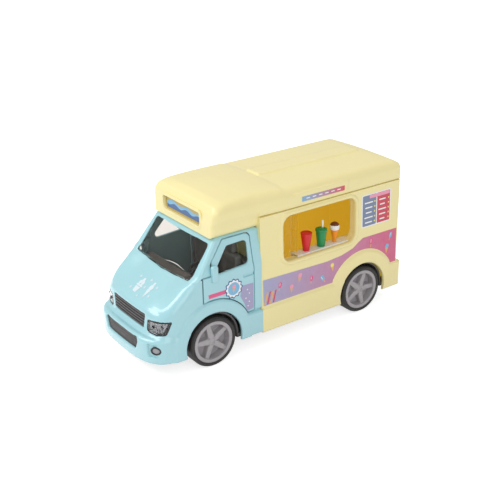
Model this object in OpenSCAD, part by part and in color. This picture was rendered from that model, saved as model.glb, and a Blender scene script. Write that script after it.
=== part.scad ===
// Toy ice cream van: a small cab with opening doors, a box body with a serving hatch,
// and wheels that turn freely.
// Millimetres. The nose points to -Y, the vehicle's left is +X, +Z is up.
// The origin is on the floor, under the middle of the van. The outlines are drawn with
// the nose at y -75, and the whole van is then moved so that its middle is at y 0.

/* [Overall] */
// Length over both bumpers
length = 151.6; // [151:0.2:152]
// Width over the sills and bumpers
sill_w = 57.8; // [57.4:0.1:58.2]
// Height of the lower edge of the sills
sill_z = 9.2; // [8.8:0.1:9.6]
// Height of the crease where the sills meet the sides
sill_top = 21; // [20.6:0.1:21.4]
// Thickness of the moulded walls
wall = 1.6; // [1.5:0.1:1.8]

/* [Wheels] */
// Radius of the tyres
tyre_r = 12.4; // [12.2:0.1:12.6]
// Radius of the rims, where the tyres sit on them
rim_r = 10.5; // [10.3:0.1:10.7]
// Width of the tyres
tyre_w = 8.4; // [8:0.1:8.6]
// Distance from the middle of the van to the outer face of a tyre
wheel_face_x = 28.2; // [28:0.1:28.4]
// Place of the front axle along the van
front_axle_y = -41.4; // [-41.6:0.1:-41.2]
// Place of the rear axle along the van
rear_axle_y = 49.6; // [49.4:0.1:49.8]
// Radius of the steel axles
axle_r = 1.5; // [1.4:0.1:1.6]
// Spokes on each rim
spokes = 5; // [4:1:6]

/* [Cab] */
// Width of the cab below its windows
cab_w = 56.2; // [56:0.1:56.4]
// Width of the cab at its roof
cab_top_w = 49.6; // [49.2:0.1:50]
// Height of the line under the windows
belt_z = 45; // [44.8:0.1:45.2]
// Height of the cab's roof
cab_top = 62; // [61.8:0.1:62.2]
// Place of the seam between cab and box along the van
seam_y = -13.8; // [-14:0.1:-13.6]
// Radius of the bonnet and windscreen seen from above
sweep_r = 400; // [300:10:500]
// Radius of the front wheel arches
front_arch_r = 15.3; // [15.2:0.1:15.5]
// Radius of the flares round the wheel arches
flare_r = 21.3; // [21:0.1:21.5]

/* [Doors] */
// Gap round each door
door_gap = 0.4; // [0.35:0.05:0.5]
// Distance of the hinge pins from the middle of the van
hinge_x = 25.4; // [25.3:0.1:25.5]
// Place of the hinge pins along the van
hinge_y = -44.4; // [-44.5:0.1:-44.3]
// Radius of the hinge pins
hinge_pin_r = 0.8; // [0.7:0.1:0.9]

/* [Box body] */
// Width of the box at its foot
box_w = 55.8; // [55.6:0.1:56]
// Width of the box under its roof
box_top_w = 53.8; // [53.6:0.1:54]
// Height of the top edge of the walls
wall_top = 66.6; // [66.4:0.1:66.8]
// Radius of the rear wheel arches
rear_arch_r = 14.9; // [14.8:0.1:15.2]
// Front edge of the serving hatch
hatch_y0 = -0.5; // [-1:0.1:0]
// Rear edge of the serving hatch
hatch_y1 = 44.5; // [44:0.1:45]
// Lower edge of the serving hatch
hatch_z0 = 41; // [40.8:0.1:41.2]
// Upper edge of the serving hatch
hatch_z1 = 64; // [63.8:0.1:64.2]

/* [Roof] */
// Height of the roof's raised panel
roof_z = 78.7; // [78.5:0.1:78.9]
// Width of the roof cap over the box
roof_w = 54.8; // [54.6:0.1:55]
// Width of the roof over the cab, at its shoulders
peak_w = 52.8; // [52.6:0.1:53]
// Width of the roof over the cab, at its foot
peak_foot_w = 50.8; // [50.6:0.1:51]

/* [Hidden] */
$fn = 64;
eps = 0.01;
far = 200;
front_y = -75;
rear_y = front_y + length;
mid_y = (front_y + rear_y) / 2;
sill_x = sill_w / 2;
cab_x = cab_w / 2;
cab_top_x = cab_top_w / 2;
box_x = box_w / 2;
box_top_x = box_top_w / 2;
roof_x = roof_w / 2;
peak_x = peak_w / 2;
peak_foot_x = peak_foot_w / 2;
// Squareness of the nose seen from above: 2 is an ellipse, more is squarer
squareness = 3.2;
nose_y = -71.3;
wall_rear_y = 75.2;
nose_depth = 16.3;
bumper_depth = 18;
// Side view of the nose, bonnet, windscreen and cab roof: [y, z] from the bumper up and back
cab_side = [[nose_y, sill_top - 3], [-70.5, 29.6], [-69, 31.6], [-60.5, 38.2], [-52.2, 43.3],
    [-38.6, 60.8], [-37.4, cab_top]];
// The same for the roof: [y, z] from the foot of the sign round to the back
roof_side = [[-39.2, cab_top], [-38.7, 68], [-38.1, 73], [-36.2, 76], [-32, 77.9], [-25, 79], [-18, 79.6],
    [-10, 79.5], [-4, 78.7], [1, 78], [5, 78.2], [9, roof_z], [66, roof_z], [71.6, 77.7], [74.6, 75],
    [75.5, 71.4], [75.5, wall_top], [seam_y, wall_top], [seam_y, cab_top]];
roof_wall = 1.8;
peak_z = 79.6;
shoulder_r = 5.5;
door_top = 61;
door_rear_y = -17.8;
door_foot = 21.3;
window_side = [[-37.7, 48.7], [-31.5, 56.7], [-20.7, 57.3], [-21.1, 46.9], [-35.8, 45.4]];
lug_low_z = [31.6, 33.6];
lug_high_z = [46, 47.6];
// The cab keeps a small corner over its upper lug, which a door's front edge has to pass
corner_y = -41.4;
corner_top = 51.4;
corner_swing_r = 4.1;
skirt_z = 8.4;
boss_r = 1.5;
pin_clearance = 0.05;
bearing_clearance = 0.05;
bearing_x = 17;
tub_x = 17.6;
tub_r = 14.6;
tub_wall = 0.8;
plate_x = sill_x - wall - 0.3;
plate_z = 10;
plate_t = 2;
screw_r = 1.25;
screw_depth = 7;
screw_boss_r = 3;
screw_ys = [-61, 68.5];
counter_z = 41.3;
treat_x = 22.8;

// Outline made of a half outline on the +X side and its mirror image
function both_sides(half) = concat(half, [for (i = [len(half) - 1:-1:0]) [-half[i][0], half[i][1]]]);

// Half of a rounded nose seen from above, from the middle of its front to its side
function nose(half_w, tip_y, depth, steps = 10) = [for (i = [0:steps])
    let (a = 90 * i / steps)
    [max(half_w * pow(sin(a), 2 / squareness), eps), tip_y + depth * (1 - pow(cos(a), 2 / squareness))]];

// Points of an arc about a centre, from angle a0 to a1
function arc(centre, r, a0, a1, steps = 6) = [for (i = [0:steps])
    let (a = a0 + (a1 - a0) * i / steps) centre + r * [cos(a), sin(a)]];

// A prism along X from an outline in [y, z]
module side_prism(x0, x1) translate([x0, 0, 0]) rotate([90, 0, 90]) linear_extrude(x1 - x0) children();

// A prism along Y from an outline in [x, z]
module front_prism(y0, y1) translate([0, y1, 0]) rotate([90, 0, 0]) linear_extrude(y1 - y0) children();

// A prism along Z from an outline in [x, y]
module plan_prism(z0, z1) translate([0, 0, z0]) linear_extrude(z1 - z0) children();

// A cylinder along X
module bar(x0, x1, y, z, r) translate([x0, y, z]) rotate([0, 90, 0]) cylinder(h = x1 - x0, r = r);

// A box by its two corners
module block(low, high) translate(low) cube(high - low);

module on_both_sides() {
    children();
    mirror([1, 0, 0]) children();
}

// The cab above its sills; inset makes the same form smaller, for what lies under the skin
module cab_form(inset = 0, foot = sill_top - 3) intersection() {
    translate([0, nose_y + sweep_r + inset * 0.85, -inset])
        rotate_extrude($fn = 128) polygon(concat([[0, foot], [sweep_r, foot]],
            [for (p = cab_side) [sweep_r + nose_y - p[0], p[1]]], [[0, cab_top]]));
    plan_prism(0, far) polygon(both_sides(concat(nose(cab_x - inset, nose_y + inset, nose_depth),
        [[cab_x - inset, seam_y]])));
    front_prism(-far, far) polygon(both_sides([[cab_x - inset, -1], [cab_x - inset, belt_z],
        [cab_top_x - inset, cab_top]]));
}

// The bumper and sills of the cab
module cab_sill_form(inset = 0, foot = sill_z) plan_prism(foot, sill_top - inset)
    polygon(both_sides(concat(nose(sill_x - inset, front_y + inset, bumper_depth),
        [[sill_x - inset, seam_y]])));

// Raised rings round the wheel arches
module flares(axle_y, inset = 0) bar(-sill_x + inset, sill_x - inset, axle_y, tyre_r, flare_r - inset);

module above_sills(y0, y1) block([-far, y0, sill_z], [far, y1, far]);

module door_outline(gap) difference() {
    polygon([[-46.4 + gap, door_foot + gap], [-46.4 + gap, belt_z + 1 - gap],
        [corner_y + gap, belt_z + 1 - gap], [corner_y + gap, corner_top], [-33.7 + gap, door_top - gap],
        [door_rear_y - gap - 2.4, door_top - gap], [door_rear_y - gap - 0.4, door_top - gap - 2],
        [door_rear_y - gap - 0.4, 46.4], [door_rear_y - gap, 43.4], [door_rear_y - gap, door_foot + gap]]);
    translate([front_axle_y, tyre_r]) circle(flare_r + gap, $fn = 96);
}

upper_grille_z = [22.9, 30];
upper_grille_outline = [[-14.6, upper_grille_z[1]], [14.6, upper_grille_z[1]], [13.3, upper_grille_z[0]],
    [-13.3, upper_grille_z[0]]];
lower_grille_outline = [[-15.3, 19.8], [15.3, 19.8], [12.9, 13.8], [-12.9, 13.8]];
headlight_outline = [[16.4, 28.6], [cab_x + 1, 29.5], [cab_x + 1, 23.2], [22, 22.4], [15.8, 22.6]];
fog_lamp_at = [24.3, 15.9];
fog_lamp_r = 2.3;

module windscreen_outline() polygon([[-23.5, 44.4], [0, 43.4], [23.5, 44.4], [22.6, 59.2], [-22.6, 59.2]]);

module cab() color("paleturquoise") difference() {
    union() {
        cab_shell();
        on_both_sides() hinge_lugs();
    }
    on_both_sides() translate([hinge_x, hinge_y, lug_low_z[0] - 1])
        cylinder(h = lug_high_z[1] - lug_low_z[0] + 2, r = hinge_pin_r + pin_clearance);
}

module cab_shell() difference() {
    union() {
        cab_form();
        cab_sill_form();
        intersection() {
            flares(front_axle_y);
            above_sills(front_y, seam_y);
        }
    }
    translate([0, 1, 0]) cab_form(wall, sill_z);
    cab_sill_form(wall, sill_z - 1);
    bar(-far, far, front_axle_y, tyre_r, front_arch_r);
    side_prism(-far, far) door_outline(0);
    front_prism(-64, -36) windscreen_outline();
    front_prism(-80, -60) polygon(upper_grille_outline);
    front_prism(-80, -60) polygon(lower_grille_outline);
    on_both_sides() {
        front_prism(-80, -58) polygon(headlight_outline);
        translate([fog_lamp_at[0], -60, fog_lamp_at[1]]) rotate([90, 0, 0]) cylinder(h = 20, r = fog_lamp_r);
        translate([hinge_x, hinge_y, lug_low_z[1]]) cylinder(h = lug_high_z[0] - lug_low_z[1], r = 3.5);
    }
}

// Two plates inside the front wing that hold a door's pins
module hinge_lugs() intersection() {
    for (z = [lug_low_z, lug_high_z]) block([hinge_x - 1.7, -50, z[0]], [cab_x, hinge_y + 1.6, z[1]]);
    cab_form(0.6);
}

module door() color("paleturquoise") {
    difference() {
        intersection() {
            difference() {
                cab_form();
                translate([0, 0, 2]) cab_form(wall);
                block([-far, -far, 0], [cab_x - wall, far, belt_z]);
                block([-far, -far, 0], [cab_top_x - 2 * wall, far, far]);
            }
            side_prism(0, far) door_outline(door_gap);
        }
        side_prism(0, far) polygon(window_side);
        translate([hinge_x, hinge_y, belt_z + 0.6])
            cylinder(h = corner_top - belt_z, r = corner_swing_r);
    }
    hinge_knuckle();
    wing_mirror();
}

// Boss and pins at the front edge of a door
module hinge_knuckle() {
    play = 0.4;
    boss_z = [lug_low_z[1] + play, lug_high_z[0] - play];
    translate([hinge_x, hinge_y, boss_z[0]]) cylinder(h = boss_z[1] - boss_z[0], r = boss_r);
    block([hinge_x, hinge_y - 0.5, boss_z[0]], [cab_x - wall / 2, hinge_y + boss_r, belt_z - 0.6]);
    translate([hinge_x, hinge_y, lug_low_z[0]])
        cylinder(h = lug_high_z[1] - lug_low_z[0], r = hinge_pin_r);
}

module wing_mirror() hull() {
    block([cab_x - 1.5, -40.4, 43.8], [cab_x, -38.4, 50]);
    block([cab_x + 1.6, -41.8, 44.4], [cab_x + 2.2, -40, 50.6]);
}

module left_door() door();

module right_door() mirror([1, 0, 0]) door();

module windscreen() color("slategray", 0.4) intersection() {
    difference() {
        cab_form(0.4);
        cab_form(1.4);
    }
    front_prism(-64, -36) windscreen_outline();
}

// A layer under the cab's skin, for what fills the openings in its nose
module nose_layer(under, t) intersection() {
    difference() {
        cab_form(under);
        cab_form(under + t);
    }
    block([-far, -far, sill_top + 1], [far, -56, 33]);
}

module headlight_lenses() color("white", 0.5) on_both_sides() intersection() {
    nose_layer(0.1, 0.7);
    front_prism(-80, -58) polygon(headlight_outline);
}

module headlight_bowls() color("silver") on_both_sides() intersection() {
    nose_layer(0.8, 1.8);
    front_prism(-80, -58) polygon(headlight_outline);
}

module fog_lamps() color("gainsboro") on_both_sides() intersection() {
    difference() {
        cab_sill_form(0.8);
        cab_sill_form(3);
    }
    translate([fog_lamp_at[0], -60, fog_lamp_at[1]]) rotate([90, 0, 0]) cylinder(h = 20, r = fog_lamp_r);
}

module slats(z0, z1, count) for (i = [1:count]) let (z = z0 + (z1 - z0) * i / (count + 1))
    block([-12, -80, z - 0.25], [12, -60, z + 0.25]);

module upper_grille() color("dimgray") difference() {
    intersection() {
        nose_layer(0.6, 1.8);
        front_prism(-80, -60) polygon(upper_grille_outline);
    }
    difference() {
        slats(upper_grille_z[0], upper_grille_z[1], 4);
        cab_form(1.4);
    }
}

module lower_grille() color("dimgray") intersection() {
    difference() {
        cab_sill_form(0.8);
        cab_sill_form(2.4);
    }
    front_prism(-80, -60) polygon(lower_grille_outline);
}

module dashboard() color("dimgray") intersection() {
    cab_form(2.6);
    block([-20.5, -58, 33], [20.5, -43.5, 43]);
}

module steering_wheel() color("dimgray") translate([11.5, -39.4, 41.5]) rotate([58, 0, 0]) {
    rotate_extrude() translate([4.4, 0]) circle(0.6, $fn = 16);
    cylinder(h = 1, r = 1.3, center = true);
    for (a = [0, 120, 240]) rotate(a + 90) block([0, -0.4, -0.3], [4.2, 0.4, 0.3]);
    translate([0, 0, -6]) cylinder(h = 6, r = 0.8);
}

module seats() color("dimgray") {
    for (x = [-11.5, 11.5]) {
        block([x - 7, -30, 22], [x + 7, -19, 28]);
        block([x - 7, -21.4, 22], [x + 7, -18, 47]);
        block([x - 3.6, -21, 46], [x + 3.6, -18.4, 52]);
    }
    block([-24.5, -26.4, 18], [24.5, -14.2, 22]);
    block([-24.5, -18, 18], [24.5, -14.2, 44]);
}

// The walls of the box; inset makes the same form smaller
module box_form(inset = 0, z0 = sill_z) intersection() {
    corner = 2.4 - inset;
    front_prism(seam_y + inset, wall_rear_y - inset) polygon(both_sides([[box_x - inset, 0],
        [box_x - inset, sill_top], [box_top_x - inset, wall_top], [box_top_x - inset, far]]));
    plan_prism(z0, wall_top) polygon(both_sides(concat([[box_x - inset, seam_y]],
        arc([box_x - 2.4, wall_rear_y - 2.4], corner, 0, 90))));
}

module skirt_form(inset = 0, foot = skirt_z) plan_prism(foot, sill_top - inset)
    polygon(both_sides(concat([[sill_x - inset, seam_y + inset]],
        arc([sill_x - 2.6, rear_y - 2.6], 2.6 - inset, 0, 90))));

module hatch_outline(grow = 0) {
    r = 4.5 + grow;
    y = [hatch_y0 - grow, hatch_y1 + grow];
    z = [hatch_z0 - grow, hatch_z1 + grow];
    difference() {
        translate([y[0], z[0]]) square([y[1] - y[0], z[1] - z[0]]);
        for (c = [[0, 0], [1, 0], [0, 1], [1, 1]]) difference() {
            translate([y[c[0]] - (c[0] == 0 ? eps : r), z[c[1]] - (c[1] == 0 ? eps : r)]) square(r + eps);
            translate([y[c[0]] + (c[0] == 0 ? r : -r), z[c[1]] + (c[1] == 0 ? r : -r)]) circle(r);
        }
    }
}

module box_body() color("palegoldenrod") difference() {
    union() {
        box_form();
        skirt_form();
        intersection() {
            flares(rear_axle_y);
            above_sills(seam_y, wall_rear_y);
        }
        side_prism(box_top_x - 0.6, box_x - 0.1) hatch_outline(1);
    }
    box_form(wall, skirt_z - 1);
    block([-box_top_x + wall, seam_y + wall, 60], [box_top_x - wall, 71, wall_top + 1]);
    skirt_form(wall, skirt_z - 1);
    bar(-far, far, rear_axle_y, tyre_r, rear_arch_r);
    side_prism(0, far) hatch_outline();
    block([-plate_x - 0.2, seam_y - 1, 0], [plate_x + 0.2, seam_y + wall + 1, plate_z + plate_t + 0.2]);
}

// Half of the roof seen from the front: its side from foot to shoulder, and its crown
function crown(foot_x, side_x, top) = concat([[foot_x, 58], [side_x, 69]],
    arc([side_x - shoulder_r, top - shoulder_r - 1], shoulder_r, 0, 90), [[7.5, top]]);

module roof_form(inset = 0, drop = 0) intersection() {
    translate([0, 0, -inset]) side_prism(-far, far) polygon([for (p = roof_side)
        [p[0] + (p[0] < -35 ? inset : p[0] > 74 ? -inset : 0), p[1] - (p[1] <= wall_top ? drop : 0)]]);
    union() {
        front_prism(-far, seam_y) polygon(both_sides(crown(peak_foot_x - inset, peak_x - inset, peak_z)));
        front_prism(seam_y, far) polygon(both_sides(crown(roof_x - inset, roof_x - inset, peak_z)));
    }
    plan_prism(0, far) polygon(both_sides(concat(arc([peak_x - 4, -35.2], 4 - inset, -90, 0),
        [[peak_x - inset, seam_y], [roof_x - inset, seam_y]],
        arc([roof_x - 2.8, 72.7], 2.8 - inset, 0, 90))));
}

sign_outline = [[-15.5, 65.2], [15.5, 65.2], [15.5, 71.9], [-15.5, 71.9]];

module roof() color("palegoldenrod") difference() {
    union() {
        roof_form();
        block([roof_x - 8, 6.5, wall_top], [roof_x + 0.2, 39, 73.6]);
    }
    roof_form(roof_wall, 4);
    block([-peak_foot_x + roof_wall, seam_y - 1, wall_top - 1], [peak_foot_x - roof_wall, seam_y + 1, 72]);
    front_prism(-45, -30) polygon(sign_outline);
}

module roof_sign() color("burlywood") front_prism(-37.6, -36.4) polygon(sign_outline);

module serving_window() color("white", 0.4) {
    block([24.4, hatch_y0 - 1.5, hatch_z0 - 1], [25.2, 9.6, hatch_z1 + 0.8]);
    block([21, 8.6, counter_z - 1.4], [24.4, 9.6, hatch_z1 + 0.8]);
}

module serving_counter() color("white")
    block([19.5, 9.6, counter_z - 1.4], [25.8, hatch_y1 + 1.5, counter_z]);

// A cup or cone that stands at y on the counter: lower and upper radius and height
module tapered(y, r0, r1, h, lift = 0) translate([treat_x, y, counter_z + lift])
    cylinder(h = h, r1 = r0, r2 = r1);

module red_cup() color("crimson") tapered(17, 1.7, 2.7, 9.4);

module green_cup() color("green") tapered(26.4, 2, 2.9, 9.4);

module straw() color("white") translate([treat_x, 27.2, counter_z + 9.4]) cylinder(h = 4, r = 0.5);

module cone() color("darkorange") union() {
    tapered(35, 1, 0.9, 1.2);
    tapered(35, 0.9, 2.1, 5.4, 1.2);
}

module scoop() color("white") intersection() {
    translate([treat_x, 35, counter_z + 8]) sphere(2.5);
    block([treat_x - 5, 30, counter_z + 6.6], [treat_x + 5, 40, counter_z + 9.2]);
}

module chocolate_cap() color("saddlebrown") intersection() {
    translate([treat_x, 35, counter_z + 8]) sphere(2.5);
    block([treat_x - 5, 30, counter_z + 9.2], [treat_x + 5, 40, counter_z + 14]);
}

module tail_lamps() color("firebrick") on_both_sides()
    block([20.4, wall_rear_y, 24.5], [24.4, wall_rear_y + 0.7, 34]);

// Wheel tub: a half tunnel over one wheel with a wall on its inner side
module tub(axle_y) intersection() {
    difference() {
        bar(tub_x, 26.6, axle_y, tyre_r, tub_r);
        bar(tub_x + tub_wall, 30, axle_y, tyre_r, tub_r - tub_wall);
    }
    block([0, -far, plate_z], [far, far, far]);
}

module wheel_gap(axle_y) block([tub_x + tub_wall, axle_y - tub_r + tub_wall, 0],
    [far, axle_y + tub_r - tub_wall, plate_z + plate_t + eps]);

module chassis() color("dimgray") difference() {
    union() {
        difference() {
            intersection() {
                union() {
                    cab_sill_form(wall + 0.3);
                    skirt_form(wall + 0.3);
                    block([-plate_x, seam_y - 1, 0], [plate_x, seam_y + wall + 1, far]);
                }
                block([-far, -far, plate_z], [far, far, plate_z + plate_t]);
            }
            on_both_sides() for (y = [front_axle_y, rear_axle_y]) wheel_gap(y);
        }
        on_both_sides() for (y = [front_axle_y, rear_axle_y]) tub(y);
        for (y = [front_axle_y, rear_axle_y])
            block([-bearing_x, y - 4, plate_z - 0.6], [bearing_x, y + 4, tyre_r + 3.4]);
        for (y = screw_ys) translate([0, y, plate_z]) cylinder(h = screw_depth + 1.5, r = screw_boss_r);
    }
    for (y = [front_axle_y, rear_axle_y]) bar(-tub_x - 2, tub_x + 2, y, tyre_r, axle_r + bearing_clearance);
    for (y = screw_ys) translate([0, y, plate_z - 1]) cylinder(h = screw_depth + 1, r = screw_r);
}

module axle(y) color("silver") bar(-wheel_face_x + 2.4, wheel_face_x - 2.4, y, tyre_r, axle_r);

// One wheel, with its outer face towards +X
rim_back_x = wheel_face_x - tyre_w + 0.4;
module rim(y) difference() {
    union() {
        difference() {
            bar(rim_back_x, wheel_face_x - 0.3, y, tyre_r, rim_r);
            bar(rim_back_x - 1, wheel_face_x + 1, y, tyre_r, rim_r - 1.7);
        }
        bar(wheel_face_x - 5, wheel_face_x - 4, y, tyre_r, rim_r - 1);
        bar(rim_back_x, wheel_face_x - 1, y, tyre_r, 2.6);
        for (i = [0:spokes - 1]) translate([0, y, tyre_r]) rotate([i * 360 / spokes, 0, 0])
            side_prism(wheel_face_x - 4.5, wheel_face_x - 1.4)
                polygon([[-1.5, 1.5], [-1, rim_r - 1], [1, rim_r - 1], [1.5, 1.5]]);
    }
    bar(0, wheel_face_x - 2.4, y, tyre_r, axle_r);
}

module tyre(y) translate([wheel_face_x - tyre_w, y, tyre_r]) rotate([0, 90, 0]) rotate_extrude()
    polygon([[rim_r, 0.4], [tyre_r - 1, 0], [tyre_r, 0.8], [tyre_r, tyre_w - 0.8], [tyre_r - 1, tyre_w],
        [rim_r, tyre_w - 0.3]]);

module front_axle() axle(front_axle_y);

module front_rims() color("gray") on_both_sides() rim(front_axle_y);

module front_tyres() color("darkslategray") on_both_sides() tyre(front_axle_y);

module rear_axle() axle(rear_axle_y);

module rear_rims() color("gray") on_both_sides() rim(rear_axle_y);

module rear_tyres() color("darkslategray") on_both_sides() tyre(rear_axle_y);

translate([0, -mid_y, 0]) {
    cab();
    left_door();
    right_door();
    windscreen();
    headlight_lenses();
    headlight_bowls();
    fog_lamps();
    upper_grille();
    lower_grille();
    dashboard();
    steering_wheel();
    seats();
    box_body();
    roof();
    roof_sign();
    serving_window();
    serving_counter();
    red_cup();
    green_cup();
    straw();
    cone();
    scoop();
    chocolate_cap();
    tail_lamps();
    chassis();
    front_axle();
    front_rims();
    front_tyres();
    rear_axle();
    rear_rims();
    rear_tyres();
}
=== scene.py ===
import math
import random

import bpy
import numpy as np
from mathutils import Matrix, Vector


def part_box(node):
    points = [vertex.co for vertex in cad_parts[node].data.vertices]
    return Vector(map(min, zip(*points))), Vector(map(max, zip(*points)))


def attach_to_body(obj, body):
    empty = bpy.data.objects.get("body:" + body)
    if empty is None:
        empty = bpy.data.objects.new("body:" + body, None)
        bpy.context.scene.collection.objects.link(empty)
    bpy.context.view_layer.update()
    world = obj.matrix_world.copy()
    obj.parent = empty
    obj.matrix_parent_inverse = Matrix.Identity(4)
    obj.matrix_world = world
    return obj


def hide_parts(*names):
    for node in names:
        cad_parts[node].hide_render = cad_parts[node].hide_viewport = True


bl_info = {
    "name": "Toy Ice Cream Van",
    "version": (1, 0, 0),
    "blender": (4, 5, 0),
    "location": "View3D > Sidebar > Van",
    "description": "Builds the finished look of a moulded toy ice cream van round its fixed parts",
    "category": "Object",
}

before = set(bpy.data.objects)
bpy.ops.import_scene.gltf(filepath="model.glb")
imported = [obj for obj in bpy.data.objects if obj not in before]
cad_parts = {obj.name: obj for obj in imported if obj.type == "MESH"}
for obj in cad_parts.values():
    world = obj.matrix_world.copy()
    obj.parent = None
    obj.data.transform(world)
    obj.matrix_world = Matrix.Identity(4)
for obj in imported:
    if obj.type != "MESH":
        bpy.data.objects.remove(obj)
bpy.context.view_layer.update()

MM = 0.001
FAR = 200.0
# The outlines are drawn this far behind their place in the frame
DRAWN_BACK = 0.8


def span(node):
    """Lowest and highest corner of a fixed part, in millimetres, where the outlines are drawn."""
    low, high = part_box(node)
    back = np.array([0, DRAWN_BACK, 0])
    return np.array(low) / MM + back, np.array(high) / MM + back


CAB_LOW, CAB_HIGH = span("cab")
BOX_LOW, BOX_HIGH = span("box_body")
ROOF_LOW, ROOF_HIGH = span("roof")
TYRE_LOW, TYRE_HIGH = span("front_tyres")
REAR_TYRE_LOW, REAR_TYRE_HIGH = span("rear_tyres")
SIGN_LOW, SIGN_HIGH = span("roof_sign")
COUNTER_LOW, COUNTER_HIGH = span("serving_counter")

TYRE_R = (TYRE_HIGH[2] - TYRE_LOW[2]) / 2
FRONT_AXLE_Y = (TYRE_LOW[1] + TYRE_HIGH[1]) / 2
REAR_AXLE_Y = (REAR_TYRE_LOW[1] + REAR_TYRE_HIGH[1]) / 2
WHEEL_FACE_X = TYRE_HIGH[0]
WHEEL_BACK_X = WHEEL_FACE_X - 8.4
RIM_R = 10.5
SEAM_Y = CAB_HIGH[1]
REAR_Y = BOX_HIGH[1]
WALL_REAR_Y = REAR_Y - 1.4
SILL_X = CAB_HIGH[0]
SILL_Z = CAB_LOW[2]
SKIRT_Z = BOX_LOW[2]
CAB_X = SILL_X - 0.8
CAB_TOP_X = 24.8
CAB_TOP = 62.0
BELT_Z = 45.0
SILL_TOP = 21.0
WALL = 1.6
CAD_NOSE = CAB_LOW[1]
NOSE_Y = CAD_NOSE + 3.7
SWEEP_R = 400.0
SQUARENESS = 3.2
FLARE_R = 21.3
FRONT_ARCH_R = 15.3
REAR_ARCH_R = 14.9
BOX_X = 27.9
BOX_TOP_X = 26.9
WALL_TOP = BOX_HIGH[2]
ROOF_X = 27.4
PEAK_X = 26.4
PEAK_FOOT_X = 25.4
PEAK_Z = ROOF_HIGH[2]
HATCH_Y = (-0.5, 44.5)
HATCH_Z = (41.0, 64.0)
# The door pins, seen from above, and the heights that the lugs holding them reach from and to
HINGE = (25.4, -44.4)
LOW_LUG_Z = (31.6, 33.6)
HIGH_LUG_Z = (46, 47.6)
PIN_R = 0.8
# The fixed cab clears this radius round the pins, and a door's upper edge the other
SWING_ROOM_R = 3.5
CORNER_SWING_R = 4.1
COUNTER_Z = COUNTER_HIGH[2]
# The raised tab over the hatch, which carries a strip
TAB_Y = (6.3, 39.2)
TAB_Z = (68.3, 74.2)
TAB_X = ROOF_X + 0.2
# The lining of the load space, and its tubs over the rear wheels
LINING = 1.6
LINING_FOOT = 15.1
TUB_X = 15.4
TREAT_X = 22.8


# ---------------------------------------------------------------- outlines

def rounded(corners, radius, steps=5):
    """An outline with its corners rounded; radius is one number or one for each corner."""
    corners = [np.array(c, float) for c in corners]
    radii = radius if isinstance(radius, (list, tuple)) else [radius] * len(corners)
    out = []
    for i, corner in enumerate(corners):
        back, ahead = corners[i - 1] - corner, corners[(i + 1) % len(corners)] - corner
        lb, la = np.linalg.norm(back), np.linalg.norm(ahead)
        back, ahead = back / lb, ahead / la
        angle = math.acos(float(np.clip(back @ ahead, -1, 1)))
        if radii[i] <= 0 or angle > math.pi - 0.02:
            out.append(corner)
            continue
        run = min(radii[i] / math.tan(angle / 2), 0.48 * lb, 0.48 * la)
        r = run * math.tan(angle / 2)
        middle = back + ahead
        centre = corner + middle / np.linalg.norm(middle) * r / math.sin(angle / 2)
        start, end = corner + back * run - centre, corner + ahead * run - centre
        turn = math.acos(float(np.clip(start @ end / (r * r), -1, 1)))
        for k in range(steps + 1):
            t = k / steps
            out.append(centre + (start * math.sin((1 - t) * turn) + end * math.sin(t * turn)) / math.sin(turn))
    return out


def both_sides(half):
    """A closed outline from its half on the left, x above 0."""
    return [tuple(p) for p in half] + [(-p[0], p[1]) for p in reversed(half)]


def nose_outline(half_width, tip, depth, back, steps=12):
    """The nose seen from above, from the tip to the seam, on both sides."""
    half = []
    for i in range(steps + 1):
        a = math.pi / 2 * i / steps
        half.append((max(half_width * math.sin(a) ** (2 / SQUARENESS), 0.01),
                     tip + depth * (1 - max(math.cos(a), 0) ** (2 / SQUARENESS))))
    return both_sides(half + [(half_width, back)])


def soft_step(value, low, high):
    """Goes smoothly from 0 at low to 1 at high."""
    t = np.clip((value - low) / (high - low), 0, 1)
    return t * t * (3 - 2 * t)


def arc(centre, r, start, end, steps=6):
    angles = np.radians(np.linspace(start, end, steps + 1))
    return [(centre[0] + r * math.cos(a), centre[1] + r * math.sin(a)) for a in angles]


def outline_distance(points, u, v):
    """Signed distance from (u, v) to a closed outline, below 0 inside."""
    best, sign = None, None
    for i in range(len(points)):
        (ax, ay), (bx, by) = points[i], points[i - 1]
        ex, ey = bx - ax, by - ay
        length2 = ex * ex + ey * ey
        if length2 < 1e-12:
            continue
        wx, wy = u - ax, v - ay
        t = np.clip((wx * ex + wy * ey) / length2, 0, 1)
        d = (wx - ex * t) ** 2 + (wy - ey * t) ** 2
        above, below = (v >= ay), (v < by)
        left = ex * wy > ey * wx
        flip = np.where((above & below & left) | (~above & ~below & ~left), -1, 1)
        best = d if best is None else np.minimum(best, d)
        sign = flip if sign is None else sign * flip
    return sign * np.sqrt(best)


# ------------------------------------------------------------------ solids

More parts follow.
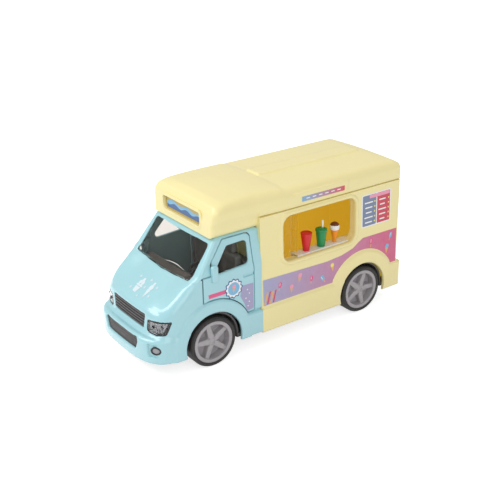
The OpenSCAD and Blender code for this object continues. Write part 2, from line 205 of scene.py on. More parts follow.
class Solid:
    """A solid given by its signed distance in millimetres, below 0 inside."""

    def __init__(self, at):
        self.at = at

    def __or__(self, other):
        return Solid(lambda x, y, z: np.minimum(self.at(x, y, z), other.at(x, y, z)))

    def __and__(self, other):
        return Solid(lambda x, y, z: np.maximum(self.at(x, y, z), other.at(x, y, z)))

    def __sub__(self, other):
        return Solid(lambda x, y, z: np.maximum(self.at(x, y, z), -other.at(x, y, z)))

    def joined(self, other, r):
        """Both, with a fillet where they meet, its radius a number or a function of place."""
        def at(x, y, z):
            a, b = self.at(x, y, z), other.at(x, y, z)
            q = r(x, y, z) if callable(r) else r
            return np.maximum(q, np.minimum(a, b)) - np.hypot(np.maximum(q - a, 0), np.maximum(q - b, 0))
        return Solid(at)

    def met(self, other, r):
        """What both share, with its edge rounded to radius r, a number or a function of place."""
        def at(x, y, z):
            a, b = self.at(x, y, z), other.at(x, y, z)
            q = r(x, y, z) if callable(r) else r
            return np.minimum(-q, np.maximum(a, b)) + np.hypot(np.maximum(q + a, 0), np.maximum(q + b, 0))
        return Solid(at)

    def carved(self, other, r):
        """This less the other, with the edge of the cut rounded to radius r."""
        return self.met(Solid(lambda x, y, z: -other.at(x, y, z)), r)

    def grown(self, r):
        return Solid(lambda x, y, z: self.at(x, y, z) - r)

    def mirrored(self):
        """The left half, on both sides."""
        return Solid(lambda x, y, z: self.at(abs(x), y, z))

    def moved(self, dx=0.0, dy=0.0, dz=0.0):
        return Solid(lambda x, y, z: self.at(x - dx, y - dy, z - dz))

    def turned(self, axis, degrees, centre=(0, 0, 0)):
        """Turned about an axis through centre."""
        c, s = math.cos(math.radians(degrees)), math.sin(math.radians(degrees))
        cx, cy, cz = centre

        def at(x, y, z):
            x, y, z = x - cx, y - cy, z - cz
            if axis == "x":
                y, z = c * y + s * z, c * z - s * y
            elif axis == "y":
                x, z = c * x - s * z, c * z + s * x
            else:
                x, y = c * x + s * y, c * y - s * x
            return self.at(x + cx, y + cy, z + cz)
        return Solid(at)


def slab(axis, low, high):
    """All between two planes across an axis."""
    index = "xyz".index(axis)
    middle, half = (low + high) / 2, (high - low) / 2
    return Solid(lambda *p: abs(p[index] - middle) - half)


def prism(axis, outline, low=None, high=None, r=0.0):
    """An outline drawn out along an axis; its outline is in the other two, in order."""
    points = [(float(a), float(b)) for a, b in outline]
    pick = {"x": (1, 2), "y": (0, 2), "z": (0, 1)}[axis]
    body = Solid(lambda *p: outline_distance(points, p[pick[0]], p[pick[1]]))
    if low is None:
        return body
    return body.met(slab(axis, low, high), r) if r else body & slab(axis, low, high)


def brick(low, high, r=0.0):
    """A block by two corners, with rounded edges."""
    middle = [(a + b) / 2 for a, b in zip(low, high)]
    half = [(b - a) / 2 - r for a, b in zip(low, high)]

    def at(x, y, z):
        q = [abs(p - m) - h for p, m, h in zip((x, y, z), middle, half)]
        outside = np.sqrt(np.maximum(q[0], 0) ** 2 + np.maximum(q[1], 0) ** 2 + np.maximum(q[2], 0) ** 2)
        return outside + np.minimum(np.maximum(q[0], np.maximum(q[1], q[2])), 0) - r
    return Solid(at)


def rod(axis, centre, radius, low, high, r=0.0):
    """A round bar along an axis; centre is in the other two directions, in order."""
    pick = {"x": (1, 2), "y": (0, 2), "z": (0, 1)}[axis]
    body = Solid(lambda *p: np.hypot(p[pick[0]] - centre[0], p[pick[1]] - centre[1]) - radius)
    return body.met(slab(axis, low, high), r) if r else body & slab(axis, low, high)


def ball(centre, radius):
    return Solid(lambda x, y, z: np.sqrt((x - centre[0]) ** 2 + (y - centre[1]) ** 2
                                         + (z - centre[2]) ** 2) - radius)


def lathe(axis, centre, outline):
    """An outline of (radius, place along the axis) turned about an axis."""
    points = [(float(a), float(b)) for a, b in outline]
    pick = {"x": (1, 2, 0), "y": (0, 2, 1), "z": (0, 1, 2)}[axis]
    return Solid(lambda *p: outline_distance(
        points, np.hypot(p[pick[0]] - centre[0], p[pick[1]] - centre[1]), p[pick[2]]))


def ring(axis, centre, radius, thick, place):
    """A round ring of round section."""
    pick = {"x": (1, 2, 0), "y": (0, 2, 1), "z": (0, 1, 2)}[axis]
    return Solid(lambda *p: np.hypot(np.hypot(p[pick[0]] - centre[0], p[pick[1]] - centre[1]) - radius,
                                     p[pick[2]] - place) - thick)


# ----------------------------------------------------------------- meshing

def grid_lines(low, high, step):
    """Evenly spaced grid lines from low to just past high."""
    lines = [low]
    while lines[-1] < high:
        lines.append(lines[-1] + step)
    return np.array(lines)


def slopes(solid, p, h=0.02):
    """Unit directions in which the distance grows, at points p."""
    n = np.zeros_like(p)
    for k in ((1, -1, -1), (-1, -1, 1), (-1, 1, -1), (1, 1, 1)):
        k = np.array(k, float)
        q = p + h * k
        n += k * solid.at(q[:, 0], q[:, 1], q[:, 2])[:, None]
    return n / np.maximum(np.linalg.norm(n, axis=1, keepdims=True), 1e-12)


def skin_of(solid, low, high, step):
    """Corners, quads and corner normals of a solid's skin, with its creases kept sharp."""
    lines = [grid_lines(low[a], high[a], step) for a in range(3)]
    nx, ny, nz = (len(line) for line in lines)
    as32 = [line.astype(np.float32) for line in lines]
    field = solid.at(as32[0][:, None, None], as32[1][None, :, None], as32[2][None, None, :])
    field = np.broadcast_to(field, (nx, ny, nz))
    inside = field < 0
    counts = (nx, ny, nz)
    points, normals, cells, flips, where = [], [], [], [], []
    for a in range(3):
        b, c = (a + 1) % 3, (a + 2) % 3
        near, far_side = [slice(None)] * 3, [slice(None)] * 3
        near[a], far_side[a] = slice(0, -1), slice(1, None)
        index = np.argwhere(inside[tuple(near)] != inside[tuple(far_side)])
        keep = ((index[:, b] > 0) & (index[:, b] < counts[b] - 1)
                & (index[:, c] > 0) & (index[:, c] < counts[c] - 1))
        index = index[keep]
        if not len(index):
            continue
        p = np.stack([lines[d][index[:, d]] for d in range(3)], 1)
        t0, t1 = lines[a][index[:, a]], lines[a][index[:, a] + 1]
        ahead = index.copy()
        ahead[:, a] += 1
        f0 = field[tuple(index.T)].astype(float)
        f1 = field[tuple(ahead.T)].astype(float)
        starts_inside = f0 < 0
        for _ in range(2):
            t = t0 + (t1 - t0) * np.clip(f0 / (f0 - f1), 0.02, 0.98)
            p[:, a] = t
            f = solid.at(p[:, 0], p[:, 1], p[:, 2])
            same = (f < 0) == (f0 < 0)
            t0, f0 = np.where(same, t, t0), np.where(same, f, f0)
            t1, f1 = np.where(same, t1, t), np.where(same, f1, f)
        p[:, a] = t0 + (t1 - t0) * np.clip(f0 / np.where(f0 == f1, 1, f0 - f1), 0, 1)
        ring_cells = []
        for db, dc in ((0, 0), (-1, 0), (-1, -1), (0, -1)):
            cell = index.copy()
            cell[:, b] += db
            cell[:, c] += dc
            ring_cells.append((cell[:, 0] * ny + cell[:, 1]) * nz + cell[:, 2])
        points.append(p)
        normals.append(slopes(solid, p))
        cells.append(np.stack(ring_cells, 1))
        flips.append(~starts_inside)
    points, normals = np.concatenate(points), np.concatenate(normals)
    cells, flips = np.concatenate(cells), np.concatenate(flips)
    names, slot = np.unique(cells.ravel(), return_inverse=True)
    slot = slot.reshape(cells.shape)
    edge_of = np.repeat(np.arange(len(points)), 4)
    flat = slot.ravel()

    def gather(values):
        return np.bincount(flat, weights=values[edge_of], minlength=len(names))

    count = gather(np.ones(len(points)))
    centre = np.stack([gather(points[:, d]) for d in range(3)], 1) / count[:, None]
    mean = np.stack([gather(normals[:, d]) for d in range(3)], 1) / count[:, None]
    a_matrix = np.zeros((len(names), 3, 3))
    for i in range(3):
        for j in range(i, 3):
            a_matrix[:, i, j] = a_matrix[:, j, i] = gather(normals[:, i] * normals[:, j])
    level = (normals * points).sum(1)
    right = np.stack([gather(normals[:, d] * level) for d in range(3)], 1)
    right -= np.einsum("nij,nj->ni", a_matrix, centre)
    weight = 0.02 * count
    corner = centre + np.linalg.solve(a_matrix + weight[:, None, None] * np.eye(3), right[:, :, None])[:, :,
                                                                                                       0]
    cx, cy, cz = names // (ny * nz), names // nz % ny, names % nz
    for d, cell in enumerate((cx, cy, cz)):
        corner[:, d] = np.clip(corner[:, d], lines[d][cell], lines[d][cell + 1])
    quads = np.where(flips[:, None], slot[:, ::-1], slot)
    size = np.linalg.norm(mean, axis=1)
    soft = (size > 0.82)[quads]
    corner_normals = np.where(soft[:, :, None], (mean / np.maximum(size, 1e-9)[:, None])[quads],
                              normals[:, None, :])
    return corner, quads, corner_normals


def mesh_object(name, corners, faces, normals=None, finish=None):
    """A mesh object from corners in millimetres; faces is an array of quads or a list of lists."""
    mesh = bpy.data.meshes.new(name)
    corners = (np.asarray(corners, float) - (0, DRAWN_BACK, 0)) * MM
    if isinstance(faces, np.ndarray):
        mesh.vertices.add(len(corners))
        mesh.vertices.foreach_set("co", corners.astype(np.float32).ravel())
        per = faces.shape[1]
        mesh.loops.add(faces.size)
        mesh.loops.foreach_set("vertex_index", faces.astype(np.int32).ravel())
        mesh.polygons.add(len(faces))
        mesh.polygons.foreach_set("loop_start", np.arange(0, faces.size, per, dtype=np.int32))
        mesh.polygons.foreach_set("use_smooth", np.ones(len(faces), bool))
    else:
        mesh.from_pydata([tuple(c) for c in corners], [], [tuple(f) for f in faces])
        mesh.polygons.foreach_set("use_smooth", np.ones(len(mesh.polygons), bool))
    mesh.update(calc_edges=True)
    if normals is not None:
        mesh.normals_split_custom_set(normals.reshape(-1, 3).tolist())
    item = bpy.data.objects.new(name, mesh)
    bpy.context.scene.collection.objects.link(item)
    if finish is not None:
        mesh.materials.append(finish)
    return item


def attach(item, body, slot=None, replaces=()):
    """Makes a piece ride on a body and stand for fixed parts, which it hides; slot is not used."""
    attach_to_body(item, body)
    if replaces:
        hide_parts(*replaces)
    return item


def moulding(name, solid, low, high, step, finish, body, slot=None, replaces=()):
    """A piece whose skin is a solid's."""
    corners, quads, normals = skin_of(solid, low, high, step)
    item = mesh_object(name, corners, quads, normals, finish)
    print("piece", name, len(quads) * 2)
    return attach(item, body, slot, replaces)


# ---------------------------------------------------------------- finishes

def tint(red, green, blue):
    """A colour of 0 to 255 parts as Blender's linear colour."""
    def linear(part):
        c = part / 255
        return c / 12.92 if c <= 0.04045 else ((c + 0.055) / 1.055) ** 2.4
    return (linear(red), linear(green), linear(blue), 1.0)


class Wire:
    """A node's output that takes part in Python arithmetic."""

    def __init__(self, finish, socket):
        self.finish, self.socket = finish, socket

    def _sum(self, operation, first, second):
        return self.finish.node("ShaderNodeMath", {"operation": operation}, {0: first, 1: second})

    def __add__(self, other):
        return self._sum("ADD", self, other)

    __radd__ = __add__

    def __sub__(self, other):
        return self._sum("SUBTRACT", self, other)

    def __rsub__(self, other):
        return self._sum("SUBTRACT", other, self)

    def __mul__(self, other):
        return self._sum("MULTIPLY", self, other)

    __rmul__ = __mul__

    def __truediv__(self, other):
        return self._sum("DIVIDE", self, other)

    def held(self):
        """Kept between 0 and 1."""
        return self.finish.node("ShaderNodeClamp", {}, {0: self})


class Finish:
    """The nodes of a new material, or of a world that is given."""

    def __init__(self, name, world=None):
        self.material = world or bpy.data.materials.new(name)
        self.material.use_nodes = True
        self.tree = self.material.node_tree
        self.tree.nodes.clear()

    def node(self, kind, settings=None, inputs=None, outlet=0):
        """A node of a type, its settings first, then its inputs; gives back one output."""
        item = self.tree.nodes.new(kind)
        for key, value in (settings or {}).items():
            setattr(item, key, value)
        for key, value in (inputs or {}).items():
            socket = item.inputs[key]
            if isinstance(value, Wire):
                self.tree.links.new(value.socket, socket)
            else:
                socket.default_value = value
        return Wire(self, item.outputs[outlet]) if len(item.outputs) else item

    def place(self):
        return self.node("ShaderNodeTexCoord", outlet="Object")

    def axes(self):
        """The three coordinates of a place, in metres."""
        item = self.node("ShaderNodeSeparateXYZ", {}, {0: self.place()})
        return [Wire(self, item.socket.node.outputs[i]) for i in range(3)]

    def noise(self, scale, detail=3.0, rough=0.5):
        return self.node("ShaderNodeTexNoise", {}, {"Vector": self.place(), "Scale": scale,
                                                   "Detail": detail, "Roughness": rough})

    def mix(self, share, first, second):
        """Two colours mixed by share."""
        return self.node("ShaderNodeMix", {"data_type": "RGBA"}, {0: share, 6: first, 7: second}, outlet=2)

    def bump(self, height, strength, depth, under=None):
        inputs = {"Height": height, "Strength": strength, "Distance": depth}
        if under is not None:
            inputs["Normal"] = under
        return self.node("ShaderNodeBump", {}, inputs)

    def surface(self, **inputs):
        """Ends the material with one Principled shader; names use _ for a space."""
        shader = self.node("ShaderNodeBsdfPrincipled", {},
                           {key.replace("_", " "): value for key, value in inputs.items()})
        self.node("ShaderNodeOutputMaterial", {}, {0: shader})
        return self.material


def shade(colour, factor):
    return (colour[0] * factor, colour[1] * factor, colour[2] * factor, 1.0)


def plastic(name, colour, rough=0.35, coat=0.0, texture=0.15, mottle=0.04):
    """Moulded plastic: a faint mottle, fine moulding grain, light rub marks and an uneven sheen."""
    f = Finish(name)
    cloud = f.noise(55.0, 4.0)
    flow = f.noise(260.0, 3.0)
    grain = f.noise(5200.0, 2.0)
    rubs = f.node("ShaderNodeTexNoise", {}, {"Vector": f.place(), "Scale": 900.0, "Detail": 2.0,
                                             "Distortion": 2.5})
    rub_mask = ((rubs - 0.62) * 9.0).held()
    base = f.mix(cloud, shade(colour, 1 - mottle), shade(colour, 1 + mottle * 0.4))
    base = f.mix(rub_mask * 0.06, base, shade(colour, 1.15))
    sheen = (cloud - 0.5) * 0.10 + (flow - 0.5) * 0.06 + rub_mask * 0.10 + rough
    normal = f.bump(grain, texture, 0.00002, f.bump(flow, 0.12, 0.00006))
    return f.surface(Base_Color=base, Roughness=sheen.held(), Normal=normal, Coat_Weight=coat,
                     Coat_Roughness=0.12, Specular_IOR_Level=0.45)


def painted(name, colour, rough=0.3):
    """Glossy paint over a casting: fine orange peel under a clear coat, tiny specks of dust."""
    f = Finish(name)
    cloud = f.noise(40.0, 4.0)
    peel = f.noise(1400.0, 2.0)
    specks = f.node("ShaderNodeTexVoronoi", {"feature": "F1"}, {"Vector": f.place(), "Scale": 700.0})
    speck_mask = ((0.055 - specks) * 30.0).held()
    base = f.mix(cloud, shade(colour, 0.97), shade(colour, 1.015))
    base = f.mix(speck_mask * 0.12, base, shade(colour, 0.8))
    normal = f.bump(peel, 0.10, 0.00004)
    return f.surface(Base_Color=base, Roughness=((cloud - 0.5) * 0.08 + rough).held(), Normal=normal,
                     Coat_Weight=0.6, Coat_Roughness=0.06, Specular_IOR_Level=0.5)


def rubber(name, colour):
    """Tyre rubber: matt, with a fine grain and paler dust."""
    f = Finish(name)
    dust = f.noise(380.0, 5.0, 0.6)
    grain = f.noise(4200.0, 3.0)
    base = f.mix((dust - 0.35).held(), shade(colour, 0.85), shade(colour, 1.35))
    normal = f.bump(grain, 0.35, 0.00003)
    return f.surface(Base_Color=base, Roughness=((dust - 0.5) * 0.2 + 0.62).held(), Normal=normal,
                     Specular_IOR_Level=0.35)


def metal(name, colour, rough):
    """Bright metal with fine turning marks."""
    f = Finish(name)
    marks = f.noise(2500.0, 3.0)
    cloud = f.noise(300.0, 3.0)
    base = f.mix(cloud, shade(colour, 0.88), colour)
    return f.surface(Base_Color=base, Metallic=1.0, Roughness=((marks - 0.5) * 0.15 + rough).held(),
                     Normal=f.bump(marks, 0.15, 0.00002))


def clear(name, colour, rough=0.03, ior=1.45):
    """Clear moulded plastic with faint swirls in its surface."""
    f = Finish(name)
    swirl = f.noise(180.0, 3.0)
    smear = f.noise(70.0, 4.0)
    base = f.mix(smear * 0.5, colour, shade(colour, 0.94))
    return f.surface(Base_Color=base, Roughness=((smear - 0.5) * 0.03 + rough).held(),
                     Transmission_Weight=1.0, IOR=ior, Normal=f.bump(swirl, 0.05, 0.00004))


# --------------------------------------------------------------- cab forms

CAB_SIDE = [(NOSE_Y, SILL_TOP - 3), (-70.5, 29.6), (-69, 31.6), (-62, 36.2), (-51.9, 42.8), (-38.5, 60.8),
            (-37.4, CAB_TOP)]


def cab_flanks(inset=0.0):
    return prism("y", rounded(both_sides([(CAB_X - inset, -1), (CAB_X - inset, BELT_Z),
                                          (CAB_TOP_X - inset, CAB_TOP), (CAB_TOP_X - inset - 0.8, 66)]),
                              [0, 1.2, 0, 0, 0, 0, 1.2, 0]))


def ridge_rise(x, y, z):
    """How far the bonnet's outer ridges stand above its middle."""
    along = np.interp(y, [NOSE_Y, -66, -60, -54, -50], [0, -1.0, 0.4, 1.5, 1.5])
    return soft_step(abs(x), 12, 24) * along * (1 - soft_step(z, 44.5, 47))


def cab_form():
    """The outside of the cab above its bumper and sills."""
    side = prism("x", rounded(CAB_SIDE + [(0, CAB_TOP), (0, SILL_TOP - 3)],
                              [0, 2.6, 3.0, 6.0, 1.4, 0.8, 0.8, 0, 0]))
    front = Solid(lambda x, y, z: side.at(x, y - x * x / (2 * SWEEP_R), z - ridge_rise(x, y, z)))
    plan = prism("z", nose_outline(CAB_X, NOSE_Y, 16.3, SEAM_Y))
    return front.met(plan & cab_flanks(), lambda x, y, z: 4.2 - 2.9 * soft_step(z, 40, 48))


def sill_plan(inset=0.02):
    return prism("z", nose_outline(SILL_X - inset, CAD_NOSE + inset, 18, SEAM_Y))


def cab_sills():
    """The bumper and the sills of the cab, softer along the top of the bumper."""
    block = sill_plan().met(slab("z", SILL_Z - 9, SILL_TOP), lambda x, y, z: 2.4 - 1.4 * soft_step(y, -66,
                                                                                                   -56))
    return block.met(slab("z", SILL_Z, SILL_Z + 40), 0.6)


def flare(axle_y, y0, y1, foot):
    return rod("x", (axle_y, TYRE_R), FLARE_R, -SILL_X, SILL_X, 1.4) & slab("z", foot, FAR) & slab("y", y0,
                                                                                                   y1)


def door_outline(gap):
    """A door seen from its side, less its wheel arch and the corner that the cab keeps at its hinge."""
    rear = -17.8 - gap
    panel = prism("x", rounded([(-46.4 + gap, 21.3 + gap), (-46.4 + gap, BELT_Z + 1 - gap),
                                (-41.4 + gap, BELT_Z + 1 - gap), (-41.4 + gap, 51.4),
                                (-33.7 + gap, 61 - gap),
                                (rear - 0.6, 61 - gap), (rear - 0.4, 46.4), (rear, 43.4),
                                (rear, 21.3 + gap)],
                               [0.4, 0.3, 0.3, 0.6, 1.2, 2.4, 0.8, 0.8, 0.5]))
    arch = rod("x", (FRONT_AXLE_Y, TYRE_R), FLARE_R + gap, -FAR, FAR)
    return panel.carved(arch, 0.3)


WINDSCREEN = [(-23.5, 44.4), (-12, 43.3), (0, 42.9), (12, 43.3), (23.5, 44.4), (22.6, 59.3), (-22.6, 59.3)]
UPPER_GRILLE = [(-14.6, 30.0), (14.6, 30.0), (13.3, 22.9), (-13.3, 22.9)]
LOWER_GRILLE = [(-15.3, 19.8), (15.3, 19.8), (12.9, 13.8), (-12.9, 13.8)]
HEADLIGHT = [(16.4, 28.6), (CAB_X + 1, 29.5), (CAB_X + 1, 23.2), (22, 21.9), (15.6, 22.2)]
HEADLIGHT_END = [(-80, 18), (-66.7, 18), (-61.4, 32), (-80, 32)]
FOG_LAMP = (24.3, 15.9)
SIDE_WINDOW = [(-38.8, 48.0), (-31.6, 57.4), (-20.6, 57.7), (-20.9, 46.7), (-37.2, 45.7)]


def windscreen_opening(grow=0.0):
    return prism("y", rounded(WINDSCREEN, [1.2, 0, 0, 0, 1.2, 1.8, 1.8]), -64, -36).grown(grow)


def headlight_opening(grow=0.0):
    outline = prism("y", rounded(HEADLIGHT, [1.6, 0, 0, 1.6, 1.6])).grown(grow)
    end = prism("x", HEADLIGHT_END).grown(grow)
    return outline.met(end, 0.8).mirrored()


def grille_opening(outline, radius, grow=0.0):
    return prism("y", rounded(outline, radius)).grown(grow) & slab("y", -80, -60)


def under_skin(form, outer, inner):
    """The layer between two depths under a form's skin."""
    return form.grown(-outer) - form.grown(-inner)


def cab_cavity():
    inner = cab_form().grown(-WALL)
    rear = cab_flanks(WALL) & slab("y", -24, 0) & slab("z", 0, CAB_TOP - 1.8)
    low = sill_plan(WALL) & slab("z", 0, SILL_TOP - WALL)
    low_rear = slab("x", -SILL_X + WALL, SILL_X - WALL) & slab("y", -24, 0) & slab("z", 0, SILL_TOP - WALL)
    return inner | rear | low | low_rear


def hinge_lugs():
    """The plates inside each wing that hold a door's pins, drilled."""
    low, high = (brick((HINGE[0] - 1.7, -50, z0), (CAB_X, HINGE[1] + 1.6, z1)) for z0,
                 z1 in (LOW_LUG_Z, HIGH_LUG_Z))
    return (((low | high) & cab_form().grown(-0.6)) - rod("z", HINGE, PIN_R + 0.3, 20, 60)).mirrored()


def cab_solid():
    body = cab_form().joined(cab_sills(), lambda x, y, z: 2.6 - 2.0 * soft_step(y, -68, -58))
    wing = flare(FRONT_AXLE_Y, CAD_NOSE, SEAM_Y, SILL_Z) & sill_plan()
    body = body.joined(wing, 0.9) & slab("y", -FAR, SEAM_Y)
    body = body - cab_cavity()
    body = body.carved(rod("x", (FRONT_AXLE_Y, TYRE_R), FRONT_ARCH_R, -FAR, FAR), 0.6)
    body = body.carved((door_outline(0) & slab("x", 16, FAR)).mirrored(), 0.3)
    body = body.carved(windscreen_opening(), 0.35)
    body = body.carved(grille_opening(UPPER_GRILLE, 0.8), 0.4)
    body = body.carved(grille_opening(LOWER_GRILLE, 1.4), 0.9)
    body = body.carved(headlight_opening(), 0.3)
    pocket = prism("y", rounded([(20.7, 19.2), (FAR, 19.2), (FAR, 12.6), (21.1, 12.6)], 1.0))
    skin = sill_plan()
    floor = Solid(lambda x, y, z: -skin.at(x, y, z) - 1.1 + 1.3 * soft_step(x, 22, 28.2))
    body = body.carved((pocket & floor & slab("y", -80, -62)).mirrored(), 0.5)
    body = body.carved(rod("y", FOG_LAMP, 2.0, -80, -60).mirrored(), 0.25)
    swing_room = rod("z", HINGE, SWING_ROOM_R, LOW_LUG_Z[1], HIGH_LUG_Z[0])
    return (body - swing_room.mirrored()) | hinge_lugs()


def door_solid(gap):
    """A door with its window, pull, hinge boss and mirror."""
    form = cab_form()
    shell = form - cab_flanks(WALL) - form.grown(-WALL).moved(0, 0, 2)
    shell = shell & slab("x", CAB_TOP_X - 2 * WALL, FAR)
    door = shell.met(door_outline(gap) & slab("x", 0, FAR), 0.3)
    door = door.carved(prism("x", rounded(SIDE_WINDOW, [2.2, 1.6, 2.0, 2.0, 1.4]), 0, FAR), 0.5)
    door = door - rod("z", HINGE, CORNER_SWING_R, BELT_Z + 0.6, 52)
    door = door.carved(brick((CAB_X - 0.7, -24.2, 40.4), (FAR, -18.2, 41.8), 0.3), 0.25)
    belt = brick((CAB_X - 0.5, -41, BELT_Z - 1.0), (CAB_X + 0.05, -18.6, BELT_Z - 0.5), 0.15)
    door = door | (belt & door_outline(gap))
    boss = rod("z", HINGE, 1.5, 34, 45.6, 0.2) | rod("z", HINGE, PIN_R, LOW_LUG_Z[0], HIGH_LUG_Z[1], 0.1)
    web = brick((HINGE[0], HINGE[1] - 0.5, 34), (CAB_X - WALL / 2, HINGE[1] + 1.5, BELT_Z - 0.6), 0.2)
    mirror = brick((CAB_X - 0.6, -42.0, 43.0), (CAB_X + 2.0, -38.8, 50.9), 0.9)
    arm = brick((CAB_X - 0.9, -40.8, 43.6), (CAB_X + 1.2, -38.8, 47.2), 0.6)
    return (door | boss | web).joined(arm, 0.4).joined(mirror, 0.4)


# --------------------------------------------------------------- box forms

def box_walls():
    ends = prism("y", both_sides([(BOX_X, 0), (BOX_X, SILL_TOP), (BOX_TOP_X, WALL_TOP), (BOX_TOP_X, 90)]))
    plan = prism("z", both_sides(arc((BOX_X - 1, SEAM_Y + 1), 1, -90, 0)
                                 + arc((BOX_X - 3, WALL_REAR_Y - 3), 3, 0, 90)))
    return ends & plan


def skirt_plan(inset=0.0):
    return prism("z", both_sides([(SILL_X - inset, SEAM_Y + inset)]
                                 + arc((SILL_X - 2.6, REAR_Y - 2.6), 2.6 - inset, 0, 90)))


def wall_x(z):
    """How far the outside of a side wall is from the middle at a height."""
    return BOX_X - (z - SILL_TOP) * (BOX_X - BOX_TOP_X) / (WALL_TOP - SILL_TOP)


def hatch_outline(grow=0.0):
    (y0, y1), (z0, z1) = HATCH_Y, HATCH_Z
    return prism("x", rounded([(y0, z0), (y1, z0), (y1, z1), (y0, z1)], 4.5)).grown(grow)


def hatch_bead():
    """The raised rounded rim round the serving hatch."""
    edge = hatch_outline(1.0)
    bead = Solid(lambda x, y, z: np.hypot(edge.at(x, y, z), x - wall_x(z) + 0.35) - 1.2)
    return bead | ((hatch_outline(1.2) - hatch_outline()) & slab("x", 22.9, BOX_TOP_X))


def box_solid():
    walls = box_walls()
    skirt = skirt_plan().met(slab("z", SKIRT_Z - 9, SILL_TOP), 1.0).met(slab("z", SKIRT_Z, 60), 0.6)
    step = brick((-SILL_X, 66, SKIRT_Z), (SILL_X, REAR_Y, SILL_TOP + 0.7), 0.6) & skirt_plan()
    wing = flare(REAR_AXLE_Y, SEAM_Y, WALL_REAR_Y, SKIRT_Z + 0.8)
    body = (walls & slab("z", SKIRT_Z, WALL_TOP)).joined(skirt | step, 0.7).joined(wing, 0.9)
    cavity = (walls.grown(-WALL) & slab("z", -1, FAR)) | (skirt_plan(WALL) & slab("z", -1, SILL_TOP - WALL))
    body = body.carved(rod("x", (REAR_AXLE_Y, TYRE_R), REAR_ARCH_R, -FAR, FAR), 0.6) - cavity
    body = body.joined(hatch_bead() & slab("x", 22.9, FAR), 0.3)
    body = body.carved(hatch_outline() & slab("x", 10, FAR), 0.5)
    doors = prism("y", rounded([(-20, 23.4), (20, 23.4), (20, 62.5), (-20, 62.5)], 2.0))
    lines = Solid(lambda x, y, z: abs(doors.at(x, y, z)) - 0.22) | (slab("x", -0.22, 0.22) & slab("z", 24,
                                                                                                  62))
    body = body - (lines & slab("y", WALL_REAR_Y - 0.4, FAR))
    plate = prism("y", rounded([(-8, 12), (8, 12), (8, 17.2), (-8, 17.2)], 0.8), REAR_Y - 0.5, FAR)
    notch = brick((-27, SEAM_Y - 1, 0), (27, SEAM_Y + WALL + 1, 12.2))
    return body.carved(plate, 0.3) - notch


DOME_SIDE = [(-39.2, CAB_TOP), (-38.7, 68), (-38.1, 73), (-36.2, 76), (-32, 77.9), (-25, 79), (-18, 79.6),
             (-10, 79.5), (-4, 79.1), (0, 78.4), (1.2, 77.2), (1.6, 70), (1.6, CAB_TOP)]
SIGN = [(-15.5, 65.2), (15.5, 65.2), (15.5, 71.9), (-15.5, 71.9)]


def crown(foot_x, side_x, top, r, flat):
    """The roof seen from the front: upright sides, round shoulders and a top that rises to a flat middle."""
    return both_sides([(foot_x, 50), (foot_x, WALL_TOP), (side_x, 70)]
                      + arc((side_x - r, top - r - 1.3), r, 0, 80) + [(flat, top)])


def dome_form(drop=0.0):
    """The roof over the cab, which ends in a soft step on the box roof."""
    side = prism("x", rounded([(y, z - (drop if z == CAB_TOP else 0)) for y, z in DOME_SIDE],
                              [0, 3, 2, 2, 3, 6, 6, 6, 6, 3, 0.8, 0, 0]))
    plan = prism("z", both_sides(arc((PEAK_X - 4, -35.2), 4, -90, 0) + [(PEAK_X, 1.6)]))
    return side.met(prism("y", crown(PEAK_FOOT_X, PEAK_X, PEAK_Z, 6.0, 7.5)), 2.4) & plan


def box_roof_form(drop=0.0):
    """The roof over the box, drawn in a little where it meets the dome, with a raised panel along its middle."""
    side = prism("x", rounded([(SEAM_Y, WALL_TOP - drop), (SEAM_Y, 78.5), (66.5, 78.5), (71.6, 77.6),
                               (74.6, 75),
                               (75.5, 71.4), (75.5, WALL_TOP - drop)], [0, 2, 4, 3, 2, 2, 0]))
    across = prism("y", crown(BOX_TOP_X + 0.04, ROOF_X - 0.1, 78.5, 5.0, 5.2))
    plan = prism("z", both_sides([(ROOF_X, SEAM_Y)] + arc((ROOF_X - 2.8, 72.7), 2.8, 0, 90)))
    body = side.met(across, 1.6) & plan
    panel = brick((-5, 1.8, 70), (5, 65.5, 78.85), 0.5)

    def at(x, y, z):
        drawn_in = 1 - soft_step(y, SEAM_Y - 8 * (1 - soft_step(z, 68, 73)), 3)
        return body.at(abs(x) + drawn_in, y, z)
    return Solid(at).joined(panel, 0.4)


def roof_form(drop=0.0):
    """The outside of the roof; drop lengthens it downwards."""
    box = box_roof_form(drop) & slab("y", SEAM_Y, FAR)
    return dome_form(drop).joined(box, lambda x, y, z: 1.2 * soft_step(z, 68, 74))


def roof_solid():
    tab = brick((ROOF_X - 8, TAB_Y[0], TAB_Z[0]), (TAB_X, TAB_Y[1], TAB_Z[1]), 0.5)
    roof = (roof_form() & slab("z", CAB_TOP, FAR)) | tab
    roof = roof - roof_form(6).grown(-1.8) - (slab("y", SEAM_Y - 1, SEAM_Y + 1) & slab("z", 50, 72)
                                              & slab("x", -PEAK_FOOT_X + 1.8, PEAK_FOOT_X - 1.8))
    roof = roof - (slab("z", 0, WALL_TOP) & slab("y", SEAM_Y, FAR))
    recess = prism("y", rounded(SIGN, [1.6, 1.6, 1.2, 1.2]))
    rim = Solid(lambda x, y, z: np.hypot(recess.at(x, y, z) - 0.7, (y + 38.75) * 1.4) - 0.7)
    roof = roof.joined(rim, 0.4)
    return roof.carved(recess & slab("y", -60, -30), 0.3)


